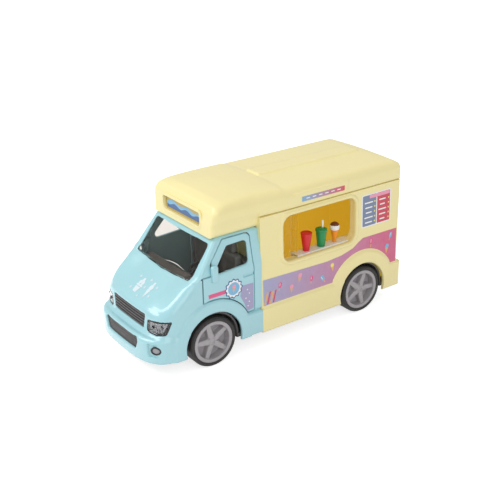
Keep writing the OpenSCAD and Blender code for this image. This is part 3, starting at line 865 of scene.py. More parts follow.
def lining_solid():
    """The inner faces of the load space, seen through the hatch."""
    outer = box_walls().grown(-WALL - 0.05)
    under_roof = roof_form(14).grown(-2.4)
    below = slab("z", 0, WALL_TOP - 0.3)
    room = outer & slab("z", LINING_FOOT, 77) & (below | under_roof)
    space = (outer.grown(-LINING) & slab("z", LINING_FOOT + LINING, 77 - LINING)
             & (below | under_roof.grown(-LINING)))
    tub_r = REAR_ARCH_R + 0.4
    tub = rod("x", (REAR_AXLE_Y, TYRE_R), tub_r + LINING, TUB_X, FAR).mirrored() & room
    arch = rod("x", (REAR_AXLE_Y, TYRE_R), tub_r, TUB_X + LINING, FAR).mirrored()
    opening = brick((20, -4, 39), (40, 48, 66))
    return ((room - space) | tub) - arch - opening


# ------------------------------------------------------------------ prints

class Print:
    """Thin printed shapes on a surface; the surface gives a point's place from its (u, v)."""

    def __init__(self, name, surface):
        self.name, self.surface = name, surface
        self.corners, self.faces, self.kinds, self.finishes = [], [], [], []

    def add(self, outline, colour, layer=1):
        """A flat shape in one colour; a higher layer lies on a lower one."""
        if colour not in self.finishes:
            self.finishes.append(colour)
        start = len(self.corners)
        self.corners += [self.surface(u, v, 0.03 * layer) for u, v in outline]
        self.faces.append(tuple(range(start, len(self.corners))))
        self.kinds.append(self.finishes.index(colour))

    def build(self, body, slot, flip=False):
        faces = [f[::-1] for f in self.faces] if flip else self.faces
        item = mesh_object(self.name, self.corners, faces)
        for name in self.finishes:
            item.data.materials.append(finish(name))
        item.data.polygons.foreach_set("material_index", self.kinds)
        return attach(item, body, slot)


def disc(u, v, r, steps=20, squash=1.0):
    return [(u + r * math.cos(a), v + r * squash * math.sin(a)) for a in np.linspace(0, 2 * math.pi,
                                                                                     steps + 1)[:-1]]


def tilted(points, degrees, u=0.0, v=0.0):
    """Points turned about (0, 0), then moved to (u, v)."""
    c, s = math.cos(math.radians(degrees)), math.sin(math.radians(degrees))
    return [(u + c * a - s * b, v + s * a + c * b) for a, b in points]


def plate(u, v, width, height, r=0.3):
    w, h = width / 2, height / 2
    return [tuple(p) for p in rounded([(u - w, v - h), (u + w, v - h), (u + w, v + h), (u - w, v + h)], r,
                                      3)]


def cone_motif(sheet, u, v, size, degrees, ball_colour, layer=2):
    """A wafer cone with one ball."""
    sheet.add(tilted([(-0.5 * size, 0), (0.5 * size, 0), (0, -1.5 * size)], degrees, u, v), "print_wafer",
              layer)
    sheet.add(tilted(disc(0, 0.35 * size, 0.58 * size), degrees, u, v), ball_colour, layer + 1)


def lolly_motif(sheet, u, v, size, degrees, colour, layer=2):
    """An ice lolly on its stick."""
    sheet.add(tilted(plate(0, -0.9 * size, 0.22 * size, 0.9 * size, 0.08), degrees, u, v), "print_wafer",
              layer)
    sheet.add(tilted(plate(0, 0.1 * size, 0.9 * size, 1.5 * size, 0.4 * size), degrees, u, v), colour,
              layer + 1)
    sheet.add(tilted(plate(-0.15 * size, 0.2 * size, 0.14 * size, 0.8 * size, 0.06), degrees, u, v),
              "print_white", layer + 2)


def bonnet_surface():
    """The top of the bonnet: u runs across the van, v along it."""
    form = cab_form()

    def place(u, v, lift):
        low, high = 28.0, 48.0
        for _ in range(18):
            middle = (low + high) / 2
            if float(form.at(np.float64(u), np.float64(v), np.float64(middle))) < 0:
                low = middle
            else:
                high = middle
        return (u, v - 0.5 * lift, middle + 0.85 * lift)
    return place


def side_surface(side):
    """The box's side wall: u runs along the van, v up."""
    return lambda u, v, lift: (side * (wall_x(v) + lift), u, v)


def door_surface(side):
    return lambda u, v, lift: (side * (CAB_X + lift), u, v)


# ------------------------------------------------------------ the settings

class VanColours(bpy.types.PropertyGroup):
    """Colours of the van's mouldings."""
    cab: bpy.props.FloatVectorProperty(name="Cab", description="Paint of the cab and its doors",
                                       subtype="COLOR", size=4, default=tint(163, 212, 220))
    box: bpy.props.FloatVectorProperty(name="Box", description="Plastic of the box body and its roof",
                                       subtype="COLOR", size=4, default=tint(245, 232, 170))
    rims: bpy.props.FloatVectorProperty(name="Rims", description="Plastic of the wheel rims",
                                        subtype="COLOR", size=4, default=tint(170, 166, 169))
    tyres: bpy.props.FloatVectorProperty(name="Tyres", description="Rubber of the tyres",
                                         subtype="COLOR", size=4, default=tint(58, 56, 55))
    trim: bpy.props.FloatVectorProperty(name="Trim",
                                        description="Dark plastic of the grilles and the cabin",
                                        subtype="COLOR", size=4, default=tint(84, 80, 80))


class VanSizes(bpy.types.PropertyGroup):
    """Sizes of the van's details."""
    door_gap: bpy.props.FloatProperty(name="Door gap",
                                      description="Gap round each cab door, in millimetres",
                                      default=0.4, min=0.2, max=0.6)
    spokes: bpy.props.IntProperty(name="Spokes", description="Spokes of each wheel rim", default=5, min=4,
                                  max=6)
    skin_step: bpy.props.FloatProperty(name="Skin step", description="Size of the faces on the large "
                                       "mouldings, in millimetres", default=0.5, min=0.3, max=2.0)


FINISHES = {}


def faded(name, first, last, y0, y1):
    """A print that goes from one colour to another along the van."""
    f = Finish(name)
    share = ((f.axes()[1] * (1 / MM) - y0) / (y1 - y0)).held()
    cloud = f.noise(300.0, 3.0)
    base = f.mix(share, first, last)
    base = f.mix(cloud * 0.10, base, (1, 1, 1, 1))
    return f.surface(Base_Color=base, Roughness=((cloud - 0.5) * 0.1 + 0.35).held(),
                     Normal=f.bump(f.noise(3000.0, 2.0), 0.1, 0.00001), Specular_IOR_Level=0.45)


def finish(name):
    """The material of that name, made once from the colours in the settings."""
    if name not in FINISHES:
        c = bpy.context.scene.van_colours
        makers = {
            "cab_paint": lambda: painted("cab_paint", tuple(c.cab)),
            "box_plastic": lambda: plastic("box_plastic", tuple(c.box), rough=0.38, coat=0.15),
            # The lining is a deeper ochre than the box plastic it stands for, which is painted shade, and it
            # glows a little, which is painted light coming through the walls.
            "lining": lambda: painted_glow_plastic("lining", tint(224, 196, 66), 0.24),
            "rim_plastic": lambda: plastic("rim_plastic", tuple(c.rims), rough=0.42, texture=0.3),
            "tyre_rubber": lambda: rubber("tyre_rubber", tuple(c.tyres)),
            "dark_trim": lambda: plastic("dark_trim", tuple(c.trim), rough=0.45, texture=0.3),
            "cabin_trim": lambda: plastic("cabin_trim", tint(124, 120, 116), rough=0.5, texture=0.3),
            # A darker copy of the trim plastic for the lower grille: painted shade.
            "shaded_lower_trim": lambda: plastic("shaded_lower_trim", tint(66, 63, 62), rough=0.5, texture=0.3),
            "black_trim": lambda: plastic("black_trim", tint(34, 34, 36), rough=0.35),
            "smoked_clear": lambda: clear("smoked_clear", tint(206, 201, 195), ior=1.25),
            "clear": lambda: clear("clear_plastic", tint(250, 250, 250), ior=1.35),
            "pane_clear": lambda: clear("pane_clear", tint(252, 250, 244), ior=1.12),
            "lamp_chrome": lambda: metal("lamp_chrome", tint(132, 133, 136), 0.2),
            "steel": lambda: metal("steel", tint(190, 190, 192), 0.3),
            "white_plastic": lambda: plastic("white_plastic", tint(243, 242, 238), rough=0.4),
            "counter_plastic": lambda: plastic("counter_plastic", tint(238, 240, 240), rough=0.25,
                                               coat=0.4),
            "red_plastic": lambda: plastic("red_plastic", tint(214, 34, 44), rough=0.35),
            "green_plastic": lambda: plastic("green_plastic", tint(24, 140, 78), rough=0.35),
            "orange_plastic": lambda: plastic("orange_plastic", tint(247, 150, 36), rough=0.35),
            "brown_plastic": lambda: plastic("brown_plastic", tint(106, 56, 32), rough=0.35),
            "lamp_red": lambda: plastic("lamp_red", tint(190, 30, 34), rough=0.25, coat=0.4),
            "lamp_glass": lambda: plastic("lamp_glass", tint(150, 152, 156), rough=0.2, coat=0.6),
            "sign_panel": lambda: plastic("sign_panel", tint(196, 172, 96), rough=0.35),
            "print_frost": lambda: plastic("print_frost", tint(218, 232, 238), rough=0.3, coat=0.4),
            "print_white": lambda: plastic("print_white", tint(244, 243, 240), rough=0.35),
            "print_blue": lambda: plastic("print_blue", tint(58, 96, 152), rough=0.35),
            "print_sky": lambda: plastic("print_sky", tint(128, 186, 222), rough=0.35),
            "print_pink": lambda: plastic("print_pink", tint(226, 92, 140), rough=0.35),
            "print_rose": lambda: plastic("print_rose", tint(240, 160, 186), rough=0.35),
            "print_lavender": lambda: plastic("print_lavender", tint(166, 162, 196), rough=0.35),
            "print_wafer": lambda: plastic("print_wafer", tint(232, 178, 104), rough=0.35),
            "print_lemon": lambda: plastic("print_lemon", tint(248, 226, 120), rough=0.35),
            "print_slate": lambda: plastic("print_slate", tint(122, 136, 164), rough=0.35),
            "print_brick": lambda: plastic("print_brick", tint(206, 74, 92), rough=0.35),
            "print_band": lambda: faded("print_band", tint(160, 160, 196), tint(208, 84, 126), -12, 66),
            "print_fascia": lambda: faded("print_fascia", tint(120, 170, 206), tint(214, 66, 78), 10, 36),
        }
        FINISHES[name] = makers[name]()
    return FINISHES[name]


def painted_glow_plastic(name, colour, glow):
    """Thin moulded plastic seen from inside, with a painted glow (emission) standing in for light that comes
    through it.
    """
    f = Finish(name)
    cloud = f.noise(70.0, 3.0)
    base = f.mix(cloud, shade(colour, 0.93), colour)
    return f.surface(Base_Color=base, Roughness=((cloud - 0.5) * 0.1 + 0.45).held(), Emission_Color=base,
                     Emission_Strength=glow, Normal=f.bump(f.noise(4200.0, 2.0), 0.2, 0.00002))


def refinish(node, name):
    """Gives a fixed part that stays in sight a better material."""
    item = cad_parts[node]
    if not item.material_slots:
        item.data.materials.append(finish(name))
    for place in item.material_slots:
        place.material = finish(name)


class VAN_OT_stage(bpy.types.Operator):
    """Makes the floor, the soft light and the camera"""
    bl_idname = "van.stage"
    bl_label = "Stage"

    def execute(self, context):
        scene = context.scene
        scene.view_settings.view_transform = "Standard"
        self.camera(scene)
        self.floor()
        self.lights(scene)
        return {"FINISHED"}

    def camera(self, scene):
        data = bpy.data.cameras.new("camera")
        data.lens, data.sensor_width, data.clip_start, data.clip_end = 64.99, 36.0, 0.01, 20.0
        item = bpy.data.objects.new("camera", data)
        scene.collection.objects.link(item)
        azimuth, elevation, roll = math.radians(54.6), math.radians(23.45), math.radians(-0.99)
        back = Vector((math.sin(azimuth) * math.cos(elevation), -math.cos(azimuth) * math.cos(elevation),
                       math.sin(elevation)))
        right = Vector((math.cos(azimuth), math.sin(azimuth), 0))
        up = back.cross(right)
        right, up = (math.cos(roll) * right + math.sin(roll) * up,
                     -math.sin(roll) * right + math.cos(roll) * up)
        matrix = Matrix((right, up, back)).transposed().to_4x4()
        matrix.translation = Vector((0, -0.33 - DRAWN_BACK, 38.27)) * MM + 0.44869 * back
        item.matrix_world = matrix
        scene.camera = item

    def floor(self):
        f = Finish("floor")
        rays = f.node("ShaderNodeLightPath")
        outlets = rays.socket.node.outputs
        seen = (Wire(f, outlets["Is Camera Ray"]) + Wire(f, outlets["Is Glossy Ray"])
                + Wire(f, outlets["Is Transmission Ray"])).held()
        cloud = f.noise(3.0, 2.0)
        base = f.mix(cloud, (0.80, 0.80, 0.80, 1), (0.82, 0.82, 0.82, 1))
        f.surface(Base_Color=base, Roughness=0.9, Specular_IOR_Level=0.0, Emission_Strength=1.0,
                  Emission_Color=f.mix(seen, (0, 0, 0, 1), (0.70, 0.70, 0.70, 1)))
        half = 3000.0
        item = mesh_object("floor", [(-half, -half, 0), (half, -half, 0), (half, half, 0),
                                     (-half, half, 0)],
                           [(0, 1, 2, 3)], None, f.material)

    def lights(self, scene):
        world = bpy.data.worlds.new("studio")
        f = Finish("studio", world)
        rays = f.node("ShaderNodeLightPath").socket.node.outputs
        seen = (Wire(f, rays["Is Camera Ray"]) + Wire(f, rays["Is Transmission Ray"])).held()
        sky = f.node("ShaderNodeBackground", {}, {0: (1, 1, 1, 1), 1: 0.60})
        backdrop = f.node("ShaderNodeBackground", {}, {0: (1, 1, 1, 1), 1: 1.0})
        f.node("ShaderNodeOutputWorld", {}, {0: f.node("ShaderNodeMixShader", {},
                                                       {0: seen, 1: sky, 2: backdrop})})
        scene.world = world
        self.lamp(scene, "key", (-0.35, -0.55, 0.75), 0.6, 4.4)
        self.lamp(scene, "fill", (0.75, -0.30, 0.45), 0.7, 2.0)

    def lamp(self, scene, name, place, size, watts):
        data = bpy.data.lights.new(name, "AREA")
        data.shape, data.size, data.energy = "DISK", size, watts
        item = bpy.data.objects.new(name, data)
        scene.collection.objects.link(item)
        direction = Vector((0, 0, 0.04)) - Vector(place)
        item.matrix_world = Matrix.Translation(place) @ direction.to_track_quat("-Z",
                                                                                "Y").to_matrix().to_4x4()


class VAN_OT_cab(bpy.types.Operator):
    """Makes the shell of the cab"""
    bl_idname = "van.cab"
    bl_label = "Cab"

    def execute(self, context):
        step = context.scene.van_sizes.skin_step
        moulding("cab_shell", cab_solid(), CAB_LOW - 0.6, CAB_HIGH + 0.6, step, finish("cab_paint"), "body",
                 "cab_shell", ["cab"])
        return {"FINISHED"}


class VAN_OT_doors(bpy.types.Operator):
    """Makes both doors with their mirrors"""
    bl_idname = "van.doors"
    bl_label = "Doors"

    def execute(self, context):
        gap = context.scene.van_sizes.door_gap
        left = door_solid(gap)
        right = Solid(lambda x, y, z: left.at(-x, y, z))
        for name, solid in (("left_door", left), ("right_door", right)):
            low, high = span(name)
            moulding(name + "_panel", solid, low - 0.8, high + 0.8, 0.35, finish("cab_paint"), name,
                     "cab_shell",
                     [name])
        return {"FINISHED"}


class VAN_OT_glass(bpy.types.Operator):
    """Makes the windscreen, the headlights and the fog lamps"""
    bl_idname = "van.glass"
    bl_label = "Glass and lamps"

    def execute(self, context):
        form = cab_form()
        low, high = CAB_LOW - 0.6, CAB_HIGH + 0.6
        screen = under_skin(form, 0.35, 1.35) & windscreen_opening()
        moulding("windscreen_pane", screen, (low[0], -56, 40), (high[0], -35, 62), 0.5,
                 finish("smoked_clear"), "body",
                 "smoked_clear", ["windscreen"])
        rim = (under_skin(form, 0.15, 1.6) & headlight_opening(0.02)) - headlight_opening(-0.75)
        moulding("headlight_rims", rim, (low[0], -76, 20), (high[0], -54, 32), 0.35, finish("black_trim"),
                 "body",
                 "dark_trim")
        lens = under_skin(form, 0.2, 0.8) & headlight_opening(-0.75)
        moulding("headlight_covers", lens, (low[0], -76, 20), (high[0], -54, 32), 0.4, finish("clear"),
                 "body",
                 "clear", ["headlight_lenses"])
        bowl = under_skin(form, 1.3, 4.2) & headlight_opening(-0.3)
        bowl = bowl.carved((ball((19.4, -70.7, 25.2), 2.7) | ball((24.2, -68.4, 25.6), 2.5)).mirrored(),
                           0.3)
        bulbs = (ball((19.4, -68.6, 25.2), 0.8) | ball((24.2, -66.4, 25.6), 0.7)).mirrored()
        moulding("headlight_reflectors", bowl | bulbs, (low[0], -76, 20), (high[0], -54, 32), 0.35,
                 finish("lamp_chrome"), "body", "silver_paint", ["headlight_bowls"])
        plan = sill_plan()
        lamp = (rod("y", FOG_LAMP, 1.35, -80, -60) & under_skin(plan, 0.6, 3.0)).mirrored()
        moulding("fog_lamp_lenses", lamp, (low[0], -76, 12), (high[0], -60, 20), 0.3, finish("lamp_glass"),
                 "body",
                 "clear", ["fog_lamps"])
        cup = ((rod("y", FOG_LAMP, 1.98, -80, -60) - rod("y", FOG_LAMP, 1.4, -80, -60))
               & under_skin(plan, 0.3, 3.0)).mirrored()
        moulding("fog_lamp_rings", cup, (low[0], -76, 12), (high[0], -60, 20), 0.3, finish("black_trim"),
                 "body",
                 "dark_trim")
        return {"FINISHED"}


class VAN_OT_grilles(bpy.types.Operator):
    """Makes the two grilles in the nose"""
    bl_idname = "van.grilles"
    bl_label = "Grilles"

    def execute(self, context):
        form, plan = cab_form(), sill_plan()
        pitch = 1.42

        def ribs(solid, depth, height):
            return Solid(lambda x, y, z: solid.at(x, y, z) + depth
                         + height * soft_step(np.cos(2 * math.pi * (z - 22.9) / pitch), -0.4, 0.5))
        upper = (ribs(form, 0.3, 1.1) - form.grown(-2.4)) & grille_opening(UPPER_GRILLE, 0.8, 0.02)
        moulding("upper_grille_slats", upper, (-16, -74, 21.6), (16, -64, 31), 0.26, finish("dark_trim"),
                 "body",
                 "dark_trim", ["upper_grille"])
        # The lower grille takes a darker copy of the trim plastic, which is painted shade.
        lower = (ribs(plan, 1.0, 0.15) - plan.grown(-3.0)) & grille_opening(LOWER_GRILLE, 1.4, 0.02)
        moulding("lower_grille_panel", lower, (-17, -77, 12), (17, -68, 21), 0.3, finish("shaded_lower_trim"),
                 "body",
                 "dark_trim", ["lower_grille"])
        return {"FINISHED"}


class VAN_OT_cabin(bpy.types.Operator):
    """Makes the seats, the dashboard and the steering wheel"""
    bl_idname = "van.cabin"
    bl_label = "Cabin"

    def execute(self, context):
        parts = brick((-24.5, -26.4, 18), (24.5, -14.2, 22), 0.3) | brick((-24.5, -18, 18),
                                                                          (24.5, -14.2, 44), 0.3)
        for x in (-11.5, 11.5):
            cushion = brick((x - 7, -30, 22), (x + 7, -18, 28), 1.4)
            rest = brick((x - 7, -21.4, 22), (x + 7, -17.8, 47), 1.6)
            panel = brick((x - 4.2, -21.9, 30), (x + 4.2, -20.4, 44), 0.7)
            head = brick((x - 3.9, -21.2, 47.0), (x + 3.9, -18.2, 53.2), 1.3)
            posts = rod("z", (x - 1.8, -19.6), 0.5, 44, 49) | rod("z", (x + 1.8, -19.6), 0.5, 44, 49)
            seat = cushion.joined(rest.carved(panel, 0.4), 0.5) | head | posts
            parts = parts | seat
        moulding("seat_row", parts, (-25.4, -31, 17), (25.4, -13.4, 54.2), 0.6, finish("cabin_trim"),
                 "body",
                 "dark_trim", ["seats"])
        form = cab_form().grown(-2.6)
        top = brick((-20.5, -58, 33), (20.5, -43.5, 42.2), 1.2)
        hood = brick((6.5, -47.5, 38), (16.5, -43.6, 43), 1.4)
        vents = brick((-17, -44.2, 37.5), (-9, -40, 39.5), 0.4) | brick((-4, -44.4, 34), (4, -40, 40), 0.5)
        dash = (top.joined(hood, 0.6) & form).carved(vents, 0.2)
        moulding("dashboard_moulding", dash, (-21.4, -59, 32), (21.4, -42.6, 44), 0.5, finish("cabin_trim"),
                 "body",
                 "dark_trim", ["dashboard"])
        place = (11.5, -39.4, 41.5)
        rim = ring("z", place[:2], 4.4, 0.6, place[2])
        hub = rod("z", place[:2], 1.4, place[2] - 0.6, place[2] + 0.5, 0.3)
        column = rod("z", place[:2], 0.8, place[2] - 6, place[2])
        wheel = rim | hub | column
        for angle in (90, 210, 330):
            arm = brick((place[0], place[1] - 0.45, place[2] - 0.35), (place[0] + 4.3, place[1] + 0.45,
                                                                      place[2] + 0.35), 0.2)
            wheel = wheel.joined(arm.turned("z", angle, place), 0.3)
        wheel = wheel.turned("x", 58, place)
        low, high = span("steering_wheel")
        moulding("steering_wheel_moulding", wheel, low - 0.8, high + 0.8, 0.3, finish("black_trim"), "body",
                 "dark_trim",
                 ["steering_wheel"])
        return {"FINISHED"}


class VAN_OT_box(bpy.types.Operator):
    """Makes the box body with its hatch and rear doors"""
    bl_idname = "van.box"
    bl_label = "Box body"

    def execute(self, context):
        step = context.scene.van_sizes.skin_step + 0.1
        moulding("box_moulding", box_solid(), BOX_LOW - 0.8, BOX_HIGH + 0.8, step, finish("box_plastic"),
                 "body",
                 "box_shell", ["box_body"])
        # The lining's finish is deeper than the box plastic (painted shade) and has a faint painted glow.
        moulding("load_space_lining", lining_solid(), BOX_LOW - 0.8, (28, 75, 78), 1.3, finish("lining"),
                 "body",
                 "box_shell")
        lamps = brick((20.4, WALL_REAR_Y - 0.4, 24.5), (24.4, WALL_REAR_Y + 0.7, 34), 0.5)
        lamps = lamps.carved(slab("z", 29.1, 29.4) & slab("y", WALL_REAR_Y + 0.3, FAR), 0.1).mirrored()
        moulding("tail_lamp_lenses", lamps, (-25.2, WALL_REAR_Y - 1.2, 23.6), (25.2, WALL_REAR_Y + 1.6, 35),
                 0.35,
                 finish("lamp_red"), "body", "red_plastic", ["tail_lamps"])
        return {"FINISHED"}


class VAN_OT_roof(bpy.types.Operator):
    """Makes the roof and its blank sign"""
    bl_idname = "van.roof"
    bl_label = "Roof"

    def execute(self, context):
        step = context.scene.van_sizes.skin_step + 0.2
        moulding("roof_moulding", roof_solid(), ROOF_LOW - 0.8, ROOF_HIGH + 0.8, step,
                 finish("box_plastic"), "body",
                 "box_shell", ["roof"])
        panel = prism("y", rounded(SIGN, [1.6, 1.6, 1.2, 1.2]), -37.7, -36.5, 0.2)
        moulding("sign_plate", panel, SIGN_LOW - 0.8, SIGN_HIGH + 0.8, 0.4, finish("sign_panel"), "body",
                 "sign_panel",
                 ["roof_sign"])
        sheet = Print("sign_print", lambda u, v, lift: (u, -37.7 - lift, v))
        across = np.linspace(-14.2, 14.2, 41)
        for layer, (level, pace, colour) in enumerate(((69.9, 0.5, "print_sky"),
                                                       (68.3, 0.62, "print_blue"))):
            waves = [(u, level + 0.6 * math.sin(u * pace)) for u in across]
            sheet.add([(-14.2, 66.2), (14.2, 66.2)] + waves[::-1], colour, layer + 1)
        sheet.build("body", "sign_panel")
        return {"FINISHED"}


class VAN_OT_serving(bpy.types.Operator):
    """Makes the counter, its clear pane and the treats on it"""
    bl_idname = "van.serving"
    bl_label = "Serving hatch"

    def execute(self, context):
        top = brick(COUNTER_LOW, COUNTER_HIGH, 0.4)
        moulding("counter_top", top, COUNTER_LOW - 0.8, COUNTER_HIGH + 0.8, 0.4, finish("counter_plastic"),
                 "body",
                 "white_plastic", ["serving_counter"])
        low, high = span("serving_window")
        pane = brick((24.4, low[1], low[2]), (25.2, 9.6, high[2]), 0.25) | brick((21, 8.6, low[2]),
                                                                              (25.0, 9.6, high[2]), 0.25)
        moulding("serving_pane", pane, low - 0.8, high + 0.8, 0.4, finish("pane_clear"), "body", "clear",
                 ["serving_window"])
        z = COUNTER_Z

        def treat(name, outline, y, colour, slot, node, centre=TREAT_X):
            solid = lathe("z", (centre, y), outline)
            reach = max(p[0] for p in outline) + 0.8
            heights = [p[1] for p in outline]
            moulding(name, solid, (centre - reach, y - reach, min(heights) - 0.6),
                     (centre + reach, y + reach, max(heights) + 0.6), 0.2, finish(colour), "body", slot,
                     [node])
        cup = rounded([(0, z), (1.6, z), (2.9, z + 9.4), (2.4, z + 9.5), (2.2, z + 9.1), (0, z + 9.1)],
                      [0, 0.3, 0.3, 0.2, 0.2, 0])
        treat("red_cup_moulding", cup, 17, "red_plastic", "red_plastic", "red_cup")
        cup = rounded([(0, z), (1.9, z), (2.75, z + 8.0), (3.0, z + 8.2), (2.9, z + 9.1), (1.6, z + 9.7),
                       (0, z + 9.8)],
                      [0, 0.3, 0.1, 0.3, 0.5, 1.0, 0])
        treat("green_cup_moulding", cup, 26.4, "green_plastic", "green_plastic", "green_cup")
        straw = rounded([(0, z + 9), (0.5, z + 9), (0.5, z + 13.4), (0, z + 13.4)], [0, 0, 0.15, 0])
        treat("straw_moulding", straw, 27.2, "white_plastic", "white_plastic", "straw")
        cone = rounded([(0, z), (1.0, z), (0.9, z + 1.2), (1.95, z + 6.2), (2.2, z + 6.3), (2.2, z + 7.0),
                        (0, z + 7.0)],
                       [0, 0.2, 0.4, 0.2, 0.2, 0.2, 0])
        treat("cone_moulding", cone, 35, "orange_plastic", "orange_plastic", "cone")
        scoop = rounded([(0, z + 6.8), (2.3, z + 6.8)] + arc((0, z + 8), 2.5, -15, 29) + [(0, z + 9.2)], 0)
        treat("scoop_moulding", scoop, 35, "white_plastic", "white_plastic", "scoop")
        cap = rounded([(0, z + 9.1), (2.3, z + 9.1)] + arc((0, z + 8), 2.55, 27, 90), 0)
        treat("chocolate_moulding", cap, 35, "brown_plastic", "brown_plastic", "chocolate_cap")
        return {"FINISHED"}


class VAN_OT_wheels(bpy.types.Operator):
    """Makes the rims and the tyres, and finishes the axles and the base"""
    bl_idname = "van.wheels"
    bl_label = "Wheels"

    def rim(self, spokes):
        """A rim about the X axis, its outer face towards +X."""
        face, back = WHEEL_FACE_X, WHEEL_BACK_X + 0.4
        centre = (0.0, 0.0)
        body = rod("x", centre, RIM_R, back, face - 0.3, 0.5)
        body = body.carved(rod("x", centre, 8.7, face - 4.6, FAR), 0.4)
        body = body.carved(rod("x", centre, 8.7, -FAR, back + 1.5), 0.2)
        star = prism("x", [(r * math.cos(a), r * math.sin(a)) for k in range(2 * spokes)
                           for r, a in [((4.9 if k % 2 == 0 else 2.9),
                                         math.pi * k / spokes + math.pi / 2)]])
        hub = star.met(slab("x", face - 4.8, face - 1.3), 0.4)
        for k in range(spokes):
            arm = prism("x", [(-1.7, 0), (-1.05, 9.2), (1.05, 9.2), (1.7, 0)]).met(slab("x", face - 5,
                                                                                        face - 1.5), 0.35)
            hub = hub.joined(arm.turned("x", 360 * k / spokes), 0.4)
        hub = hub & rod("x", centre, 9.4, -FAR, FAR)
        for k in range(spokes):
            a = math.pi * (2 * k + 1) / spokes + math.pi / 2
            hub = hub.carved(rod("x", (2.75 * math.cos(a), 2.75 * math.sin(a)), 0.55, face - 2, FAR), 0.15)
        cap = rod("x", centre, 1.7, face - 4, face - 0.8, 0.5)
        dimple = rod("x", centre, 0.8, face - 1.1, FAR)
        barrel = rod("x", centre, 2.6, back, face - 2)
        return body.joined(hub, 0.3).joined(cap, 0.3).carved(dimple, 0.15).joined(barrel, 0.3)

    def tyre(self):
        face, back, foot = WHEEL_FACE_X, WHEEL_BACK_X, RIM_R - 0.1
        tread = TYRE_R - 0.02
        outline = rounded([(foot, back + 0.3), (tread - 0.7, back), (tread, back + 0.9),
                           (tread, face - 0.9),
                           (tread - 0.7, face), (foot + 0.5, face), (foot, face - 0.4)],
                          [0, 0.6, 0.7, 0.7, 0.6, 0.3, 0.1])
        tyre = lathe("x", (0, 0), outline)
        for x in (back + 2.0, back + 4.2, face - 2.0):
            tyre = tyre - ring("x", (0, 0), TYRE_R + 0.12, 0.38, x)
        return tyre - ring("x", (0, 0), RIM_R + 0.75, 0.2, face + 0.05)

    def execute(self, context):
        reach = TYRE_R + 0.8
        skins = []
        for kind, solid, step in (("rims", self.rim(context.scene.van_sizes.spokes), 0.32),
                                  ("tyres", self.tyre(), 0.36)):
            skins.append((kind, skin_of(solid, (WHEEL_BACK_X - 0.9, -reach, -reach),
                                        (WHEEL_FACE_X + 0.8, reach, reach), step)))
        for axle, y, tilt in (("front", FRONT_AXLE_Y, 14), ("rear", REAR_AXLE_Y, -22)):
            c, s = math.cos(math.radians(tilt)), math.sin(math.radians(tilt))
            turn = np.array([[1, 0, 0], [0, c, -s], [0, s, c]])
            for kind, (corners, quads, normals) in skins:
                for side, name in ((1, "left"), (-1, "right")):
                    flip = np.array([side, 1, 1])
                    faces = quads if side > 0 else quads[:, ::-1]
                    bends = normals if side > 0 else normals[:, ::-1]
                    item = mesh_object(f"{axle}_{name}_{kind}", (corners @ turn.T) * flip + (0, y, TYRE_R),
                                       faces,
                                       (bends @ turn.T) * flip,
                                       finish("rim_plastic" if kind == "rims" else "tyre_rubber"))
                    attach(item, axle + "_wheelset", "rim_plastic" if kind == "rims" else "tyre_rubber",
                           [f"{axle}_{kind}"])
        refinish("front_axle", "steel")
        refinish("rear_axle", "steel")
        refinish("chassis", "dark_trim")
        return {"FINISHED"}


